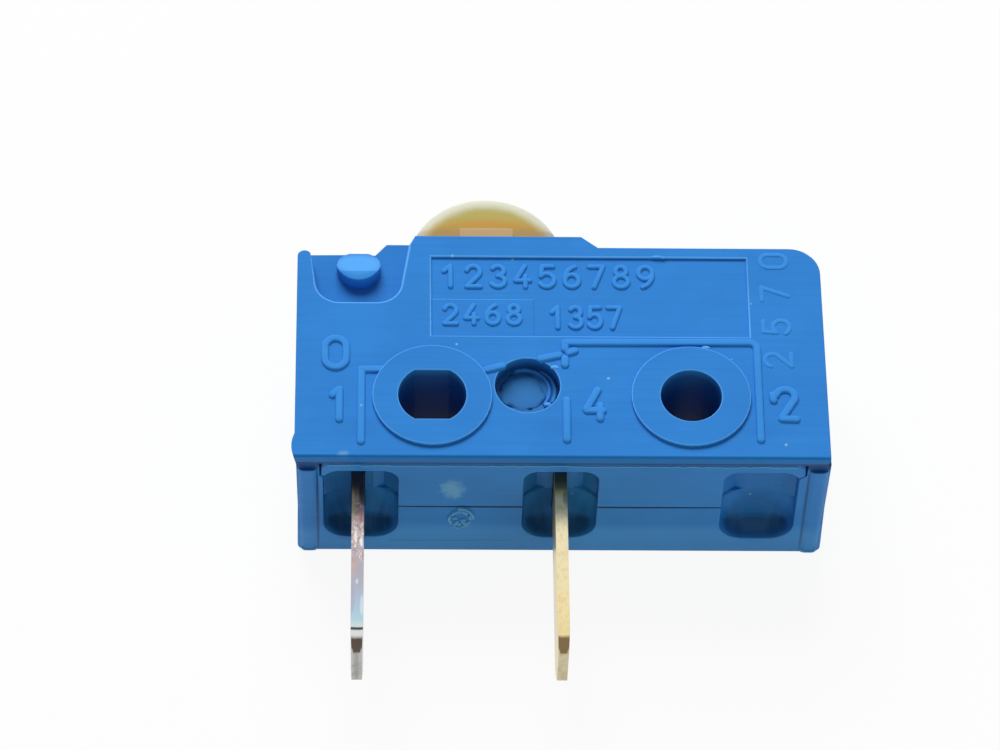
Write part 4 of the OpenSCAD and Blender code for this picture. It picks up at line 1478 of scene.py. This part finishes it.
@dataclass
class InnerWorks:
    """The arm, contacts and springs inside the housing."""

    copper: BareMetal = BareMetal("rolled_copper", ((3.2, "#c98d5a"), (2.0, "#b97c4a")))
    silver: BareMetal = BareMetal("contact_silver", ((3.2, "#d8d9d6"), (0.5, "#e6e6e3")))
    steel: BareMetal = BareMetal("spring_steel", ((5.6, "#a5a8ab"), (2.0, "#b9bcbf")))
    foot_hook: float = -7.1
    arm_hook: float = -4.8
    arm_follow: float = 0.71

    def build(self) -> list[Object]:
        """Dresses the inner pieces, and makes copies of the springs."""
        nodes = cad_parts
        copper, silver, steel = (finish.material() for finish in (self.copper, self.silver, self.steel))
        dressed = {"contact_arm": copper, "moving_contact": silver, "fixed_contact": silver}
        for node, finish in dressed.items():
            wear(nodes[node], finish)
        return [*(nodes[node] for node in dressed), self.return_coil(steel), self.snap_coil(steel)]

    def return_coil(self, steel: Material) -> Object:
        """Makes a copy of the spring under the plunger, which rides on the housing."""
        piece = self.flexible("return_spring", "return_coil", steel)
        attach(piece, Body.HOUSING.value)
        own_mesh(piece)
        return piece

    def snap_coil(self, steel: Material) -> Object:
        """Makes a copy of the spring from the plunger's foot to the arm."""
        piece = self.flexible("snap_spring", "snap_coil", steel)
        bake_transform(piece)
        return piece

    @staticmethod
    def flexible(node: str, name: str, finish: Material) -> Object:
        """Copies a spring's solid as a new piece, and hides the solid.

        Args:
            node: The solid's node.
            name: Name of the copy.
            finish: Its finish.

        Returns:
            The copy, which rides on nothing yet.
        """
        piece = merged_copy(node, name, [finish])
        bpy.ops.object.shade_smooth_by_angle(angle=SMOOTH_ANGLE)
        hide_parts(node)
        return piece


@dataclass(frozen=True)
class SoftBox:
    """A square lamp that points at the switch."""

    name: str
    place: Point3
    size: float
    power: float
    colour: Point3 = (1.0, 1.0, 1.0)

    def build(self, target: Vector) -> None:
        """Adds the lamp."""
        bpy.ops.object.light_add(type="AREA", location=metres(*self.place))
        lamp = bpy.context.object
        lamp.name = self.name
        lamp.data.size = self.size * MM
        lamp.data.energy = self.power
        lamp.data.color = self.colour
        lamp.rotation_euler = (target - lamp.location).to_track_quat("-Z", "Y").to_euler()
        lamp.visible_camera = False
        lamp.visible_glossy = False


@dataclass
class Studio:
    """Pale floor, soft light and the camera at the photograph's angle."""

    floor_size: float = 1200.0
    floor_gap: float = 0.01
    floor_tone: Colour = (0.9, 0.9, 0.9, 1.0)
    clip: Point2 = (5.0, 5000.0)
    image: Point2 = (1000.0, 750.0)
    target: Point3 = (-4.75, 2.0, 3.2)
    target_pixel: Point2 = (557.92, 400.839)
    distance: float = 173.711
    elevation: float = 55.5
    turn: float = -2.558
    roll: float = 2.433
    focal_pixels: float = 4635.571
    sensor: float = 36.0
    sky: float = 0.2
    shadow_share: float = 0.08
    boxes: tuple[SoftBox, ...] = (
        SoftBox("key_box", (-60.0, 270.0, 300.0), 260.0, 1.78),
        SoftBox("fill_box", (80.0, -340.0, 90.0), 260.0, 0.32, (0.56, 1.0, 0.74)),
    )

    def build(self) -> None:
        """Adds the floor, the lamps, the sky and the camera."""
        bpy.context.scene.view_settings.view_transform = "Standard"
        self.add_floor()
        self.add_sky()
        for box in self.boxes:
            box.build(metres(*self.target))
        self.add_camera()

    @staticmethod
    def seen_share(graph: Graph, share: float) -> Socket:
        """Gives a share for rays that show a surface, and 0 for rays that light others."""
        path = graph.node("ShaderNodeLightPath")
        seen = graph.math("MAXIMUM", path.outputs["Is Camera Ray"], path.outputs["Is Glossy Ray"])
        return graph.math("MULTIPLY", graph.math("MAXIMUM", seen, path.outputs["Is Transmission Ray"]), share)

    def add_floor(self) -> None:
        """Adds the pale floor just under the switch, which keeps a faint shadow."""
        level = CAD_BOX[0].z - self.floor_gap * MM
        bpy.ops.mesh.primitive_plane_add(size=self.floor_size * MM, location=(0, 0, level))
        floor = bpy.context.object
        floor.name = "floor"
        material, graph, out = new_material("pale_floor")
        matt = graph.node("ShaderNodeBsdfDiffuse", {0: self.floor_tone})
        white = graph.node("ShaderNodeEmission", {0: (1, 1, 1, 1), 1: 1.0})
        both = graph.node("ShaderNodeMixShader", {
            0: self.seen_share(graph, 1 - self.shadow_share), 1: matt.outputs[0], 2: white.outputs[0]})
        graph.tree.links.new(both.outputs[0], out)
        wear(floor, material)

    def add_sky(self) -> None:
        """Adds a dim even sky that shows as white."""
        world = bpy.data.worlds.new("studio_sky")
        bpy.context.scene.world = world
        world.use_nodes = True
        world.node_tree.nodes.clear()
        graph = Graph(world.node_tree)
        level = graph.math("ADD", self.seen_share(graph, 1 - self.sky), self.sky)
        sky = graph.node("ShaderNodeBackground", {0: (1, 1, 1, 1), 1: level})
        graph.tree.links.new(sky.outputs[0], graph.node("ShaderNodeOutputWorld").inputs[0])

    def add_camera(self) -> None:
        """Adds the camera so that the target falls on its pixel."""
        height, turn, roll = (math.radians(a) for a in (self.elevation, self.turn, self.roll))
        flat = math.cos(height)
        back = Vector((math.sin(turn) * flat, -math.cos(turn) * flat, math.sin(height)))
        level = Vector((math.cos(turn), math.sin(turn), 0.0))
        upward = back.cross(level)
        right = level * math.cos(roll) + upward * math.sin(roll)
        up = upward * math.cos(roll) - level * math.sin(roll)
        across = (self.target_pixel[0] - self.image[0] / 2) / self.focal_pixels * self.distance
        above = (self.image[1] / 2 - self.target_pixel[1]) / self.focal_pixels * self.distance
        place = Vector(self.target) - right * across - up * above + back * self.distance
        bpy.ops.object.camera_add()
        camera = bpy.context.object
        axes = Matrix((right, up, back)).transposed()
        camera.matrix_world = Matrix.Translation(place * MM) @ axes.to_4x4()
        camera.data.sensor_width = self.sensor
        camera.data.lens = self.focal_pixels / self.image[0] * self.sensor
        camera.data.clip_start, camera.data.clip_end = (end * MM for end in self.clip)
        bpy.context.scene.camera = camera


def main() -> None:
    """Dresses the switch and sets up the studio."""
    logging.basicConfig(level=logging.INFO, format="%(name)s: %(message)s")
    for assembly in (Housing(), Plunger(), Blades(), InnerWorks()):
        for piece in assembly.build():
            LOG.info("%s: %s, %d faces", type(assembly).__name__, piece.name, len(piece.data.polygons))
    Studio().build()


if __name__ == "__main__":
    main()
